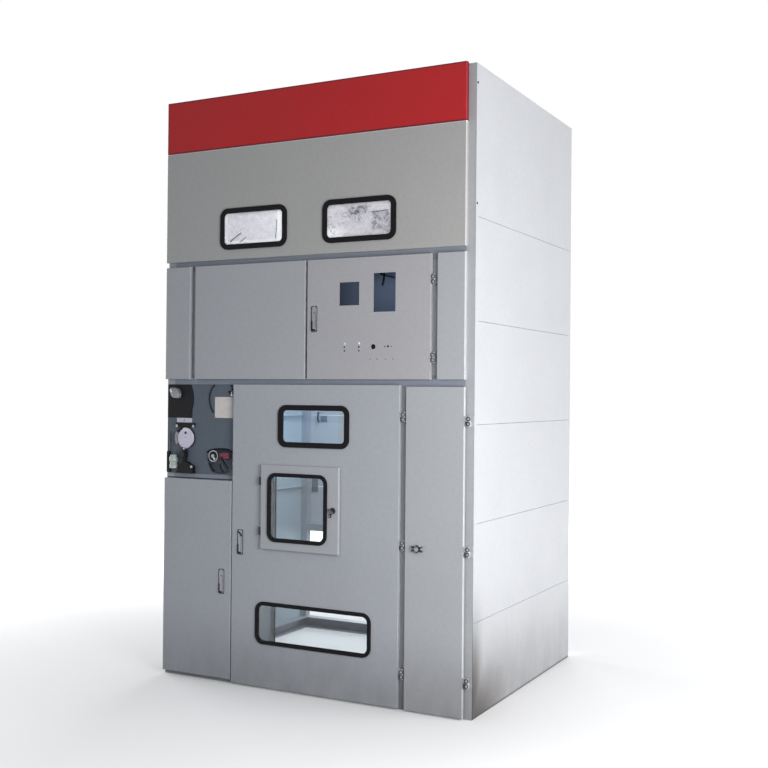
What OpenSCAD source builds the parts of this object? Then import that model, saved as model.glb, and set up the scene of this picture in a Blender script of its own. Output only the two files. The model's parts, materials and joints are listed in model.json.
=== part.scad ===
// Fixed type switchgear cubicle: a welded and bolted sheet-steel cabinet with a red header,
// a windowed upper panel, an instrument row, and a lower row of doors beside an open mechanism bay.
// Origin: middle of the floor-bolt rectangle, on the floor. +X right, -Y towards the front, +Z up.

/* [Cabinet] */
// Overall width over the side sheets
cab_w = 1600; // [1500:10:2000]
// Overall height above the floor
cab_h = 2730; // [2600:10:3400]
// Depth of the frame, from its front plane to its rear plane
frame_d = 1260; // [1000:10:1600]
// How far doors and panels stand in front of the frame
panel_proud = 25; // [22:1:40]
// Thickness of the folded sheet of doors and covers
sheet_t = 2; // [1.5:0.5:2.5]

/* [Rows] */
// Height of the red header panel
header_h = 240; // [150:1:320]
// How far the header's top edge stands above the roof
header_rise = 5; // [0:1:12]
// Height of the fixed panel with the two upper windows
upper_h = 521; // [420:1:640]
// Height of the instrument row
mid_h = 533; // [440:1:640]
// Visible band of frame between two rows
row_gap = 24; // [20:1:40]
// Seam between the header and the upper panel
seam = 2; // [1:0.5:4]
// Height of the open mechanism bay
bay_h = 424; // [400:1:500]

/* [Columns] */
// Set-back of the left panels from the cabinet's left side
edge_gap = 3; // [2:1:8]
// Strip of the right corner post left uncovered at the front
post_show = 36; // [24:1:44]
// Width of the left lower door
left_door_w = 391; // [350:1:450]
// Width of the right lower door
right_door_w = 270; // [240:1:340]
// Width of the left filler panel of the instrument row
left_filler_w = 143; // [80:1:170]
// Width of the right filler panel of the instrument row
right_filler_w = 127; // [80:1:170]
// Gap that holds a row of exposed hinges
hinge_gap = 29; // [29:1:34]
// Gap between the free edges of two doors
door_gap = 6; // [5:1:14]
// Gap between the two instrument row doors
mid_door_gap = 11; // [8:1:14]

/* [Doors] */
// Depth of the folded edge of a door
fold_d = 16; // [12:1:16]
// Outer bend radius of the folded edges
bend_r = 3; // [2.5:0.5:4]
// Height of the left lower door's edge above the floor
left_door_lift = 20; // [6:1:30]
// Height of the main door's edge above the floor
main_door_lift = 8; // [6:1:30]
// Height of the right door's edge above the floor
right_door_lift = 6; // [6:1:30]
// How far the right door's top edge stays below the main door's
right_door_drop = 6; // [0:1:12]
// Width of the inspection hatch
hatch_w = 408; // [390:1:500]
// Height of the inspection hatch
hatch_h = 382; // [360:1:460]
// How far the hatch stands in front of the main door
hatch_proud = 18; // [18:1:24]

/* [Windows] */
// Width and height of an upper window over its rubber
upper_win_w = 366; // [300:1:440]
upper_win_h = 192; // [150:1:240]
// Width and height of the main door's top window over its rubber
top_win_w = 368; // [300:1:450]
top_win_h = 191; // [150:1:230]
// Width and height of the main door's bottom window over its rubber
low_win_w = 598; // [480:1:640]
low_win_h = 193; // [160:1:250]
// Width and height of the hatch window over its rubber
hatch_win_w = 312; // [260:1:350]
hatch_win_h = 311; // [260:1:330]
// Outer corner radius of the window rubber
win_r = 42; // [32:1:60]
// Width of the visible rubber ring of the upper windows and the main door's top window
ring_w = 24; // [16:1:28]
// Width of the visible rubber ring of the hatch window and the main door's bottom window
slim_ring_w = 17; // [15:1:28]
// Thickness of the window panes
glass_t = 5; // [4:0.5:6]
// How far the rubber laps over the sheet
lap = 9; // [6:1:11]
// How far the rubber stands in front of the sheet
lip_t = 6; // [5:0.5:8]

/* [Hinges and locks] */
// Barrel radius of the exposed hinges
barrel_r = 6.5; // [5:0.5:7]
// Length of the exposed hinges
hinge_len = 42; // [30:1:60]
// Distance from the instrument door's edge to its exposed hinge axis
instr_hinge_off = 11; // [9:0.5:16]
// Distance from the main door's edge to its exposed hinge axis
main_hinge_off = 17.5; // [9:0.5:17.5]
// Distance from the right door's edge to its exposed hinge axis
right_hinge_off = 20; // [9:0.5:22]
// Radius of the hinge pins
pin_r = 3; // [2:0.25:3.5]
// Running clearance of a pin in its bore
pin_play = 0.05; // [0.02:0.01:0.1]
// Height of the plane locks on the doors
lock_h = 112; // [90:1:140]
// Width of the plane locks on the doors
lock_w = 24; // [24:1:34]

/* [Frame and floor bolts] */
// Side of the corner posts
post_w = 40; // [36:1:50]
// Wall of the frame sections
post_t = 2.5; // [2:0.5:4]
// Depth of the front rails and mullions
rail_d = 40; // [30:1:60]
// Height of the base frame's angle
base_h = 60; // [50:1:100]
// Foot flange width of the base frame
base_flange = 55; // [50:1:80]
// Thickness of the base frame
base_t = 5; // [4:0.5:8]
// Diameter of the floor bolt holes
floor_hole_d = 18; // [14:0.5:24]
// Distance of the floor bolt holes from the cabinet's sides
hole_inset_x = 150; // [120:5:300]
// Distance of the floor bolt holes in from the frame's front and rear planes
hole_inset_y = 32; // [28:1:40]
// Lower edge of the rear wall, above which it is sheeted
rear_open_h = 555; // [300:5:800]

/* [Hidden] */

$fn = 48;
eps = 0.5;

// Finish colours
cab_grey = [0.66, 0.67, 0.68];
frame_grey = [0.58, 0.61, 0.66];
header_red = [0.70, 0.13, 0.15];
rubber_black = [0.08, 0.08, 0.09];
glass_tint = [0.75, 0.85, 0.9, 0.35];
zinc = [0.75, 0.76, 0.78];
slate = [0.30, 0.34, 0.38];
dark = [0.12, 0.12, 0.13];

// Planes
x_left = -cab_w / 2;
x_right = cab_w / 2;
y_front = -frame_d / 2;
y_rear = frame_d / 2;
y_face = y_front - panel_proud;

// Rows, from the top down
header_z0 = cab_h - header_h;
upper_z1 = header_z0 - seam;
upper_z0 = upper_z1 - upper_h;
mid_z1 = upper_z0 - row_gap;
mid_z0 = mid_z1 - mid_h;
low_z1 = mid_z0 - row_gap;
bay_z1 = low_z1;
bay_z0 = bay_z1 - bay_h;
left_door_z1 = bay_z0 - row_gap;

// Columns, from the left
panel_x0 = x_left + edge_gap;
panel_x1 = x_right - post_show;
left_door_x1 = panel_x0 + left_door_w;
main_x0 = left_door_x1 + door_gap;
right_x0 = panel_x1 - right_door_w;
main_x1 = right_x0 - hinge_gap;
main_w = main_x1 - main_x0;
left_filler_x1 = panel_x0 + left_filler_w;
right_filler_x0 = panel_x1 - right_filler_w;
relay_x0 = left_filler_x1 + hinge_gap;
instr_x1 = right_filler_x0 - hinge_gap;
instr_w = (instr_x1 - relay_x0 - mid_door_gap) / 2;
relay_x1 = relay_x0 + instr_w;
instr_x0 = instr_x1 - instr_w;

// Frame sections behind the panels
side_in = x_right - sheet_t;          // inner face of the side sheets
back_in = y_rear - sheet_t;           // inner face of the rear sheets
post_in = side_in - post_w;           // inner face of the corner posts
rail_y1 = y_front + rail_d;
top_rail_z0 = cab_h - sheet_t - post_w;
upper_rail_z0 = mid_z1 - 25;
upper_rail_z1 = upper_z0 + 25;
mid_rail_z0 = low_z1 - 10;
mid_rail_z1 = mid_z0 + 18;
bay_rail_z0 = left_door_z1 - 18;
partition_d = 270;
partition_fold = 18;
stile_lap = 6;                        // how far a stile runs behind a panel's edge
left_stile_x0 = left_door_x1 + 1;
low_stiles = [[left_stile_x0, left_stile_x0 + 40], [main_x1 - stile_lap, right_x0 + stile_lap]];
mid_stiles = [[left_filler_x1 - stile_lap, relay_x0 + 18], [relay_x1 - 15, instr_x0 + 15],
              [instr_x1 - stile_lap, right_filler_x0 + stile_lap]];

// Side and rear sheets: heights of the seams, as shares of the sheeted height
side_seams = [0, 0.1462, 0.2967, 0.448, 0.6066, 0.7663, 1];
sheet_gap = 1.5;
sheet_lip = 14;

// Windows and cut-outs
upper_win_z = upper_z0 + 141;
upper_win_x = [x_left + cab_w * 0.315, x_left + cab_w * 0.66125];
main_mid = (main_x0 + main_x1) / 2;
top_win_x = main_mid + 2.5;
top_win_z = low_z1 - 187;
low_win_x = main_mid + 3;
low_win_z = main_door_lift + 294;
hatch_x0 = main_mid - 263;
hatch_x1 = hatch_x0 + hatch_w;
hatch_z1 = low_z1 - 364;
hatch_z0 = hatch_z1 - hatch_h;
hatch_win_x = (hatch_x0 + hatch_x1) / 2 - 9;
hatch_win_z = (hatch_z0 + hatch_z1) / 2 + 1;
hatch_edge = 30;                      // lap of the hatch over the opening behind it
pane_bite = 6;                        // how far a pane runs into its rubber
hatch_face = y_face - hatch_proud;
hatch_fold = hatch_proud - 5;

// Hinge axes
main_axis = [main_x1 + main_hinge_off, y_face + 3];
right_axis = [panel_x1 + right_hinge_off, y_face + 3];
instr_axis = [instr_x1 + instr_hinge_off, y_face + 3];
conceal_off = [8.5, 8];               // from a door's left edge and face to its hidden pin
left_axis = [panel_x0 + conceal_off[0], y_face + conceal_off[1]];
relay_axis = [relay_x0 + conceal_off[0], y_face + conceal_off[1]];
hatch_axis = [hatch_x0 - 7, hatch_face + 3];
hatch_barrel_r = 4.5;
hatch_pin_r = 2;
hatch_hinge_len = 36;

// Hinge heights
low_hinge = 156;
main_hinge_top = low_z1 - 136;
right_hinge_top = low_z1 - 149;
main_hinges = [low_hinge, (low_hinge + main_hinge_top) / 2, main_hinge_top];
right_hinges = [low_hinge, (low_hinge + right_hinge_top) / 2, right_hinge_top];
instr_hinges = [mid_z0 + 93, mid_z1 - 110];
relay_hinges = [mid_z0 + 36, (mid_z0 + mid_z1) / 2, mid_z1 - 36];
left_hinges = [left_door_lift + 120, left_door_z1 - 120];
hatch_hinge_z = [hatch_z0 + 80, hatch_z1 - 75];

// Concealed hinge: arm on the frame, pin, and block inside the door
arm_h = 16;
arm_x = [-3, 5];
notch_h = 28;

// Plane locks: centre on each door
main_lock = [main_x0 + 50, main_door_lift + 652];
left_lock = [left_door_x1 - 48, left_door_lift + 450];
instr_lock = [instr_x0 + 40, (mid_z0 + mid_z1) / 2 + 2];
lock_t = 5;
lock_body_w = lock_w - 4;
lever_w = 12;
lever_t = 9;
lever_pivot_r = 2;

// Right door knob
knob_at = [right_x0 + 63, main_door_lift + 687];

// Floor bolts
hole_x = x_right - hole_inset_x;
hole_y = y_rear - hole_inset_y;

// ---- shared shapes ----

// Box from its lowest to its highest corner
module span(a, b) {
    translate(a) cube([b[0] - a[0], b[1] - a[1], b[2] - a[2]]);
}

// Rounded rectangle centred on the origin
module rounded(w, h, r) {
    square([w - 2 * r, h], center = true);
    square([w, h - 2 * r], center = true);
    for (sx = [-1, 1], sz = [-1, 1]) translate([sx * (w / 2 - r), sz * (h / 2 - r)]) circle(r);
}

// Rounded block standing in the XZ plane at (x, z), from y0 back to y1
module slab_xz(x, z, w, h, r, y0, y1) {
    translate([x, y1, z]) rotate([90, 0, 0]) linear_extrude(y1 - y0) rounded(w, h, r);
}

// Round bar along Y at (x, z), from y0 back to y1
module bar_y(x, z, r, y0, y1) {
    translate([x, y1, z]) rotate([90, 0, 0]) cylinder(r = r, h = y1 - y0);
}

// Rectangle from a0 to a1 across and depth deep, its two corners at 0 rounded as a bend
module bent(a0, a1, depth) {
    translate([a0 + bend_r, 0]) square([a1 - a0 - 2 * bend_r, depth]);
    translate([a0, bend_r]) square([a1 - a0, depth - bend_r]);
    for (a = [a0 + bend_r, a1 - bend_r]) translate([a, bend_r]) circle(bend_r);
}

// Folded sheet tray with bent edges all round, open at the back
module tray(x0, x1, z0, z1, face, depth) {
    difference() {
        intersection() {
            translate([0, face, z0]) linear_extrude(z1 - z0) bent(x0, x1, depth);
            translate([x1, face, 0]) rotate([0, -90, 0]) linear_extrude(x1 - x0) bent(z0, z1, depth);
        }
        span([x0 + sheet_t, face + sheet_t, z0 + sheet_t],
             [x1 - sheet_t, face + depth + 1, z1 - sheet_t]);
    }
}

// Cut-out that a window rubber sits in
module window_cut(x, z, w, h, face) {
    slab_xz(x, z, w - 2 * lap, h - 2 * lap, win_r - lap, face - 1, face + sheet_t + 1);
}

// Pane of a window with a rubber ring of the given width
module pane(x, z, w, h, face, ring) {
    bite = ring - pane_bite;
    slab_xz(x, z, w - 2 * bite, h - 2 * bite, win_r - bite, face - 3, face - 3 + glass_t);
}

// Rubber profile around a window: front lip, core in the cut-out, rear lip
module rubber(x, z, w, h, face, ring) {
    difference() {
        union() {
            slab_xz(x, z, w, h, win_r, face - lip_t, face);
            slab_xz(x, z, w - 2 * lap, h - 2 * lap, win_r - lap, face - 1, face + sheet_t + 1);
            slab_xz(x, z, w - 4, h - 4, win_r - 2, face + sheet_t, face + sheet_t + 5);
        }
        slab_xz(x, z, w - 2 * ring, h - 2 * ring, win_r - ring,
                face - lip_t - 1, face + sheet_t + 6);
        pane(x, z, w, h, face, ring);
    }
}

// Box section rail between two corners, with its walls, open along X or Z
module section(a, b, along) {
    o = along == "x" ? [1, 0, 0] : along == "y" ? [0, 1, 0] : [0, 0, 1];
    t = [for (i = [0:2]) o[i] == 1 ? -1 : post_t];
    difference() {
        span(a, b);
        span([a[0] + t[0], a[1] + t[1], a[2] + t[2]], [b[0] - t[0], b[1] - t[1], b[2] - t[2]]);
    }
}

// Fixed half of an upright hinge at height z: plate against y_back, lug, lower knuckle and pin
module hinge_fixed(axis, z, r, pr, len, plate_x, y_back, plate_t = 3) {
    low = z - len / 2;
    span([axis[0] + plate_x[0], y_back - plate_t, low], [axis[0] + plate_x[1], y_back, low + len]);
    span([axis[0] - r * 0.6, axis[1], low], [axis[0] + r * 0.6, y_back, z - eps]);
    translate([axis[0], axis[1], low]) cylinder(r = r, h = len / 2 - eps);
    translate([axis[0], axis[1], low]) cylinder(r = pr, h = len - 3);
}

// Moving half of an upright hinge: upper knuckle and the leaf along a door's edge at edge_x
module hinge_moving(axis, z, r, pr, len, edge_x, leaf_x, y0, y1) {
    difference() {
        union() {
            translate([axis[0], axis[1], z]) cylinder(r = r, h = len / 2);
            span([min(edge_x, axis[0]), axis[1] - r * 0.6, z],
                 [max(edge_x, axis[0]), axis[1] + r * 0.6, z + len / 2]);
            span([min(edge_x, leaf_x), y0, z], [max(edge_x, leaf_x), y1, z + len / 2]);
        }
        translate([axis[0], axis[1], z - 1]) cylinder(r = pr + pin_play, h = len);
    }
}

// Concealed hinge arm: reaches from the frame through the door's notched edge to an upright pin
module concealed_arm(axis, z) {
    span([axis[0] + arm_x[0], axis[1] - 4, z - arm_h / 2],
         [axis[0] + arm_x[1], y_front, z + arm_h / 2]);
    translate([axis[0], axis[1], z]) cylinder(r = pin_r, h = arm_h / 2 + 13);
}

// Concealed hinge block inside a door, on the back of its front sheet
module concealed_block(axis, z) {
    z0 = z + arm_h / 2 + eps;
    difference() {
        span([axis[0] - 6, axis[1] - conceal_off[1] + sheet_t, z0], [axis[0] + 14, axis[1] + 5, z0 + 15]);
        translate([axis[0], axis[1], z]) cylinder(r = pin_r + pin_play, h = 60);
    }
}

// Notch in a door's left edge where a concealed arm passes
module concealed_notch(axis, x_edge, z) {
    span([x_edge - 1, y_face + sheet_t, z - notch_h / 2],
         [x_edge + sheet_t + 1, y_face + fold_d + 1, z + notch_h / 2]);
}

// Cut-out in a door for a plane lock at c = [x, z]
module lock_cut(c) {
    slab_xz(c[0], c[1], lock_body_w, lock_h - 8, 9, y_face - 1, y_face + sheet_t + 1);
}

// Plane lock: flange, body through the sheet, recess for the lever, pivot pin and key barrel
module plane_lock(c) {
    pivot_z = c[1] - lock_h * 0.37;
    recess_z0 = c[1] - lock_h * 0.43;
    recess_z1 = c[1] + lock_h * 0.25;
    recess_w = lever_w + 3;
    difference() {
        union() {
            slab_xz(c[0], c[1], lock_w, lock_h, lock_w / 2 - 1, y_face - lock_t, y_face);
            slab_xz(c[0], c[1], lock_body_w, lock_h - 8, 9, y_face - 1, y_face + 10);
        }
        span([c[0] - recess_w / 2, y_face - lock_t - 1, recess_z0],
             [c[0] + recess_w / 2, y_face + 4, recess_z1]);
    }
    translate([c[0] - recess_w / 2 - 1, y_face - 3, pivot_z]) rotate([0, 90, 0])
        cylinder(r = lever_pivot_r, h = recess_w + 2);
    bar_y(c[0], c[1] + lock_h * 0.36, 8.5, y_face - lock_t - 2, y_face - lock_t + 1);
}

// Lever of a plane lock, hinged at its lower end
module plane_lever(c) {
    pivot_z = c[1] - lock_h * 0.37;
    top_z = c[1] + lock_h * 0.23;
    r = lever_t / 2;
    difference() {
        union() {
            span([c[0] - lever_w / 2, y_face - 3 - r, pivot_z], [c[0] + lever_w / 2, y_face - 3 + r, top_z]);
            translate([c[0] - lever_w / 2, y_face - 3, pivot_z]) rotate([0, 90, 0])
                cylinder(r = r, h = lever_w);
        }
        translate([c[0] - lever_w, y_face - 3, pivot_z]) rotate([0, 90, 0])
            cylinder(r = lever_pivot_r + pin_play, h = 2 * lever_w);
    }
}

// ---- frame ----

// Channel ring on the floor, open towards the middle, with four floor bolt holes
module base_frame() {
    color(frame_grey) difference() {
        span([-side_in, y_front, 0], [side_in, back_in, base_h]);
        span([-side_in + base_t, y_front + base_t, base_t], [side_in - base_t, back_in - base_t, base_h - base_t]);
        span([-side_in + base_flange, y_front + base_flange, -1],
             [side_in - base_flange, back_in - base_flange, base_h + 1]);
        for (sx = [-1, 1], sy = [-1, 1])
            translate([sx * hole_x, sy * hole_y, -1]) cylinder(d = floor_hole_d, h = base_t + 2);
    }
}

module corner_posts() {
    color(frame_grey)
    for (sx = [-1, 1], y = [y_front, back_in - post_w]) {
        x0 = sx < 0 ? -side_in : post_in;
        section([x0, y, base_h], [x0 + post_w, y + post_w, cab_h - sheet_t], "z");
    }
}

module stile(x, z0, z1) {
    section([x[0], y_front, z0], [x[1], rail_y1, z1], "z");
}

module front_mullions() {
    color(frame_grey) {
        for (x = low_stiles) stile(x, base_h, mid_rail_z0);
        for (x = mid_stiles) stile(x, mid_rail_z1, upper_rail_z0);
    }
}

module frame_rails() {
    color(frame_grey) {
        // Front rails between the rows
        for (z = [[mid_rail_z0, mid_rail_z1], [upper_rail_z0, upper_rail_z1], [top_rail_z0, cab_h - sheet_t]])
            section([-post_in, y_front, z[0]], [post_in, rail_y1, z[1]], "x");
        section([-post_in, y_front, bay_rail_z0], [left_stile_x0, rail_y1, bay_z0], "x");
        // Rear rails
        for (z = [rear_open_h, mid_rail_z0, top_rail_z0])
            section([-post_in, back_in - post_w, z], [post_in, back_in, z + post_w], "x");
        // Side rails
        for (x = [-side_in, post_in], z = [mid_rail_z0, top_rail_z0])
            section([x, y_front + post_w, z], [x + post_w, back_in - post_w, z + post_w], "y");
    }
}

// ---- outer sheets ----

module roof_sheet() {
    color(cab_grey) span([-side_in, y_front, cab_h - sheet_t], [side_in, back_in, cab_h]);
}

// One side sheet with folded lips at its inner seams; mirrored for the left side
module side_sheet(z0, z1, lip_low, lip_top) {
    span([side_in, y_front, z0], [x_right, y_rear, z1]);
    for (e = [[lip_low, z0], [lip_top, z1 - sheet_t]]) if (e[0])
        span([side_in - sheet_lip, y_front + post_w + 2, e[1]],
             [side_in + 0.1, back_in - post_w - 2, e[1] + sheet_t]);
}

module side_sheets() {
    n = len(side_seams) - 1;
    for (i = [0:n - 1])
        side_sheet(max(2, side_seams[i] * cab_h), side_seams[i + 1] * cab_h - (i < n - 1 ? sheet_gap : 0),
                   i > 0, i < n - 1);
}

module right_side_sheets() {
    color(cab_grey) side_sheets();
}

module left_side_sheets() {
    color(cab_grey) mirror([1, 0, 0]) side_sheets();
}

module rear_sheets() {
    tops = [for (s = side_seams) if (s * cab_h > rear_open_h + 100) s * cab_h];
    edges = concat([rear_open_h], tops);
    color(cab_grey)
    for (i = [0:len(edges) - 2])
        span([-side_in, back_in, edges[i]],
             [side_in, y_rear, edges[i + 1] - (i < len(edges) - 2 ? sheet_gap : 0)]);
}

module header_panel() {
    color(header_red) tray(panel_x0, panel_x1, header_z0, cab_h + header_rise, y_face, panel_proud);
}

module upper_panel() {
    color(cab_grey) difference() {
        tray(panel_x0, panel_x1, upper_z0, upper_z1, y_face, panel_proud);
        for (x = upper_win_x) window_cut(x, upper_win_z, upper_win_w, upper_win_h, y_face);
    }
}

module upper_window_rubbers() {
    color(rubber_black) for (x = upper_win_x) rubber(x, upper_win_z, upper_win_w, upper_win_h, y_face, ring_w);
}

module upper_window_panes() {
    color(glass_tint) for (x = upper_win_x) pane(x, upper_win_z, upper_win_w, upper_win_h, y_face, ring_w);
}

module filler_panels() {
    color(cab_grey) {
        tray(panel_x0, left_filler_x1, mid_z0, mid_z1, y_face, panel_proud);
        tray(right_filler_x0, panel_x1, mid_z0, mid_z1, y_face, panel_proud);
    }
}

// ---- inside ----

// Sheet box behind the instrument row, open to the front
module instrument_box() {
    box_d = 330;
    z0 = mid_rail_z1 - 16;
    z1 = upper_rail_z0 + 16;
    color(cab_grey) difference() {
        span([-post_in, rail_y1, z0], [post_in, rail_y1 + box_d, z1]);
        span([-post_in + sheet_t, rail_y1 - 1, z0 + sheet_t],
             [post_in - sheet_t, rail_y1 + box_d - sheet_t, z1 - sheet_t]);
    }
}

// Sheet between the left lower compartment and the main compartment, with a fold at its rear edge
module compartment_partition() {
    x = left_stile_x0 + 10;
    y1 = rail_y1 + partition_d;
    color(cab_grey) {
        span([x, rail_y1, base_h], [x + sheet_t, y1, mid_rail_z0]);
        span([x, y1 - sheet_t, base_h], [x + partition_fold, y1, mid_rail_z0]);
    }
}

// ---- mechanism bay ----

bay_x0 = x_left + 3;
bay_x1 = left_stile_x0 + 2;
bay_face = y_front - sheet_t;
pan_at = [x_left + 314, bay_z0 + 63];
pan_size = [146, 114];
pan_r = 50;
pan_d = 30;

// Cover plate of the operating mechanism, with a recessed pan at its lower right
module mechanism_plate() {
    color(slate) {
        difference() {
            union() {
                span([bay_x0, bay_face, bay_z0], [bay_x1, y_front, bay_z1]);
                slab_xz(pan_at[0], pan_at[1], pan_size[0] + 4, pan_size[1] + 4, pan_r + 2, bay_face, y_front + pan_d);
            }
            slab_xz(pan_at[0], pan_at[1], pan_size[0], pan_size[1], pan_r,
                    bay_face - 1, y_front + pan_d - sheet_t);
        }
    }
}

// Black plate at the upper left of the bay, its right edge bowed
module shutter_plate() {
    w = 154;
    h = 158;
    r = 145;
    color(dark) translate([bay_x0, bay_face, bay_z1 - 2 - h]) rotate([90, 0, 0]) linear_extrude(2)
    intersection() {
        square([w, h]);
        union() {
            square([w - 18, h]);
            square([w - 9, h * 0.45]);
            translate([w - r, h * 0.57]) circle(r, $fn = 96);
        }
    }
}

// Round position dial on its rim
module position_dial() {
    at = [x_left + 122, bay_z0 + 168];
    color("lavender") bar_y(at[0], at[1], 45, bay_face - 16, bay_face - 9);
    color(dark) bar_y(at[0] - 6, at[1], 49, bay_face - 9, bay_face);
}

// Knobs and shaft ends of the mechanism
module shaft_knobs() {
    color(zinc) {
        bar_y(x_left + 60, bay_z0 + 382, 24, bay_face - 24, bay_face - 2);
        bar_y(x_left + 111, bay_z0 + 92, 15, bay_face - 30, bay_face);
        bar_y(x_left + 52, bay_z0 + 55, 15, bay_face - 18, bay_face);
    }
}

// Black cross bracket under the shutter plate and the gusset foot below
module interlock_bracket() {
    color(dark) {
        span([x_left + 58, bay_face - 8, bay_z0 + 219], [x_left + 166, bay_face, bay_z0 + 240]);
        translate([x_left + 68, bay_face, bay_z0 + 1]) rotate([90, 0, 0]) linear_extrude(22)
            polygon([[0, 0], [102, 0], [100, 34], [62, 55], [38, 55]]);
    }
}

// Disc, red lever and black lever in the pan
module interlock_levers() {
    hub = [x_left + 283, bay_z0 + 88];
    pan_floor = y_front + pan_d - sheet_t;
    color(zinc) {
        bar_y(hub[0], hub[1], 9, bay_face - 18, pan_floor);
        bar_y(hub[0], hub[1], 27, bay_face - 14, bay_face - 8);
    }
    color("firebrick") {
        bar_y(hub[0] + 50, hub[1] - 9, 8, bay_face - 26, pan_floor);
        translate([hub[0] + 64, bay_face - 14, hub[1] + 2]) rotate([0, -6, 0])
            cube([50, 8, 27], center = true);
    }
    color(dark) translate([hub[0] + 70, bay_face - 24, hub[1] - 33]) rotate([0, -41, 0])
        cube([10, 8, 60], center = true);
}

// Blank label plates
module label_plates() {
    color("ivory") span([x_left + 281, bay_face - 1.5, bay_z0 + 267], [x_left + 384, bay_face, bay_z0 + 365]);
    color("gainsboro") span([x_left + 58, bay_face - 1.5, bay_z0 + 242], [x_left + 147, bay_face, bay_z0 + 263]);
}

// ---- hinges on the frame ----

module fixed_hinges() {
    plate = [-4, 14];
    color(zinc) {
        for (z = main_hinges) hinge_fixed(main_axis, z, barrel_r, pin_r, hinge_len, plate, y_front);
        for (z = right_hinges) hinge_fixed(right_axis, z, barrel_r, pin_r, hinge_len, plate, y_front);
        for (z = instr_hinges) hinge_fixed(instr_axis, z, barrel_r, pin_r, hinge_len, plate, y_front);
    }
}

module concealed_hinge_arms() {
    color(zinc) {
        for (z = relay_hinges) concealed_arm(relay_axis, z);
        for (z = left_hinges) concealed_arm(left_axis, z);
    }
}

// ---- main door ----

module main_door_panel() {
    color(cab_grey) difference() {
        tray(main_x0, main_x1, main_door_lift, low_z1, y_face, fold_d);
        window_cut(top_win_x, top_win_z, top_win_w, top_win_h, y_face);
        window_cut(low_win_x, low_win_z, low_win_w, low_win_h, y_face);
        span([hatch_x0 + hatch_edge, y_face - 1, hatch_z0 + hatch_edge],
             [hatch_x1 - hatch_edge, y_face + sheet_t + 1, hatch_z1 - hatch_edge]);
        lock_cut(main_lock);
    }
}

module main_door_rubbers() {
    color(rubber_black) {
        rubber(top_win_x, top_win_z, top_win_w, top_win_h, y_face, ring_w);
        rubber(low_win_x, low_win_z, low_win_w, low_win_h, y_face, slim_ring_w);
    }
}

module main_door_panes() {
    color(glass_tint) {
        pane(top_win_x, top_win_z, top_win_w, top_win_h, y_face, ring_w);
        pane(low_win_x, low_win_z, low_win_w, low_win_h, y_face, slim_ring_w);
    }
}

module main_door_hinges() {
    color(zinc) for (z = main_hinges)
        hinge_moving(main_axis, z, barrel_r, pin_r, hinge_len, main_x1, main_x1 + 2.5,
                     y_face, y_face + fold_d - 1);
}

module main_door_lock() {
    color(zinc) plane_lock(main_lock);
}

module main_door_lever() {
    color(zinc) plane_lever(main_lock);
}

module hatch_hinge_leaves() {
    color(dark) for (z = hatch_hinge_z)
        hinge_fixed(hatch_axis, z, hatch_barrel_r, hatch_pin_r, hatch_hinge_len, [-6, 3], y_face, 2.5);
}

// ---- inspection hatch ----

module hatch_panel() {
    color(cab_grey) difference() {
        tray(hatch_x0, hatch_x1, hatch_z0, hatch_z1, hatch_face, hatch_fold);
        window_cut(hatch_win_x, hatch_win_z, hatch_win_w, hatch_win_h, hatch_face);
    }
}

module hatch_rubber() {
    color(rubber_black) rubber(hatch_win_x, hatch_win_z, hatch_win_w, hatch_win_h, hatch_face, slim_ring_w);
}

module hatch_pane() {
    color(glass_tint) pane(hatch_win_x, hatch_win_z, hatch_win_w, hatch_win_h, hatch_face, slim_ring_w);
}

module hatch_hinges() {
    color(dark) for (z = hatch_hinge_z)
        hinge_moving(hatch_axis, z, hatch_barrel_r, hatch_pin_r, hatch_hinge_len, hatch_x0, hatch_x0 - 2,
                     hatch_face, hatch_face + hatch_fold - 1);
}

// Wing latch near the hatch's free edge
module hatch_latch() {
    at = [hatch_x1 - 29, (hatch_z0 + hatch_z1) / 2 + 2];
    color(zinc) {
        bar_y(at[0], at[1], 12, hatch_face - 8, hatch_face);
        bar_y(at[0], at[1], 7, hatch_face - 22, hatch_face - 7);
        translate([at[0], hatch_face - 18, at[1]]) rotate([0, 25, 0]) cube([32, 8, 9], center = true);
    }
}

// ---- right door ----

knob_shaft_r = 5;

module right_door_panel() {
    color(cab_grey) difference() {
        union() {
            tray(right_x0, panel_x1, right_door_lift, low_z1 - right_door_drop, y_face, fold_d);
            bar_y(knob_at[0], knob_at[1], 14, y_face - 3, y_face + 1);
        }
        bar_y(knob_at[0], knob_at[1], knob_shaft_r + pin_play, y_face - 10, y_face + 10);
    }
}

module right_door_hinges() {
    color(zinc) for (z = right_hinges)
        hinge_moving(right_axis, z, barrel_r, pin_r, hinge_len, panel_x1, panel_x1 + 2.5,
                     y_face, y_face + fold_d - 1);
}

// Pointed lobe of the hand knob, from its hub out to len
module knob_lobe(len) {
    tip_r = 2.2;
    rotate([90, 0, 0]) linear_extrude(8) {
        polygon([[0, -6], [len - tip_r, -tip_r], [len - tip_r, tip_r], [0, 6]]);
        translate([len - tip_r, 0]) circle(tip_r);
    }
}

// Lobed hand knob on its shaft, with a retaining collar inside the door
module right_door_knob() {
    back = y_face - 4;
    color(zinc) {
        bar_y(knob_at[0], knob_at[1], knob_shaft_r, back, y_face + 12);
        bar_y(knob_at[0], knob_at[1], 9, y_face + 3, y_face + 9);
        bar_y(knob_at[0], knob_at[1], 12, back - 16, back);
        for (a = [22, 90, 158, 202, 270, 338])
            translate([knob_at[0], back - 4, knob_at[1]]) rotate([0, a, 0])
                knob_lobe(a % 180 == 90 ? 17 : 28);
    }
}

// ---- left lower door ----

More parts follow.
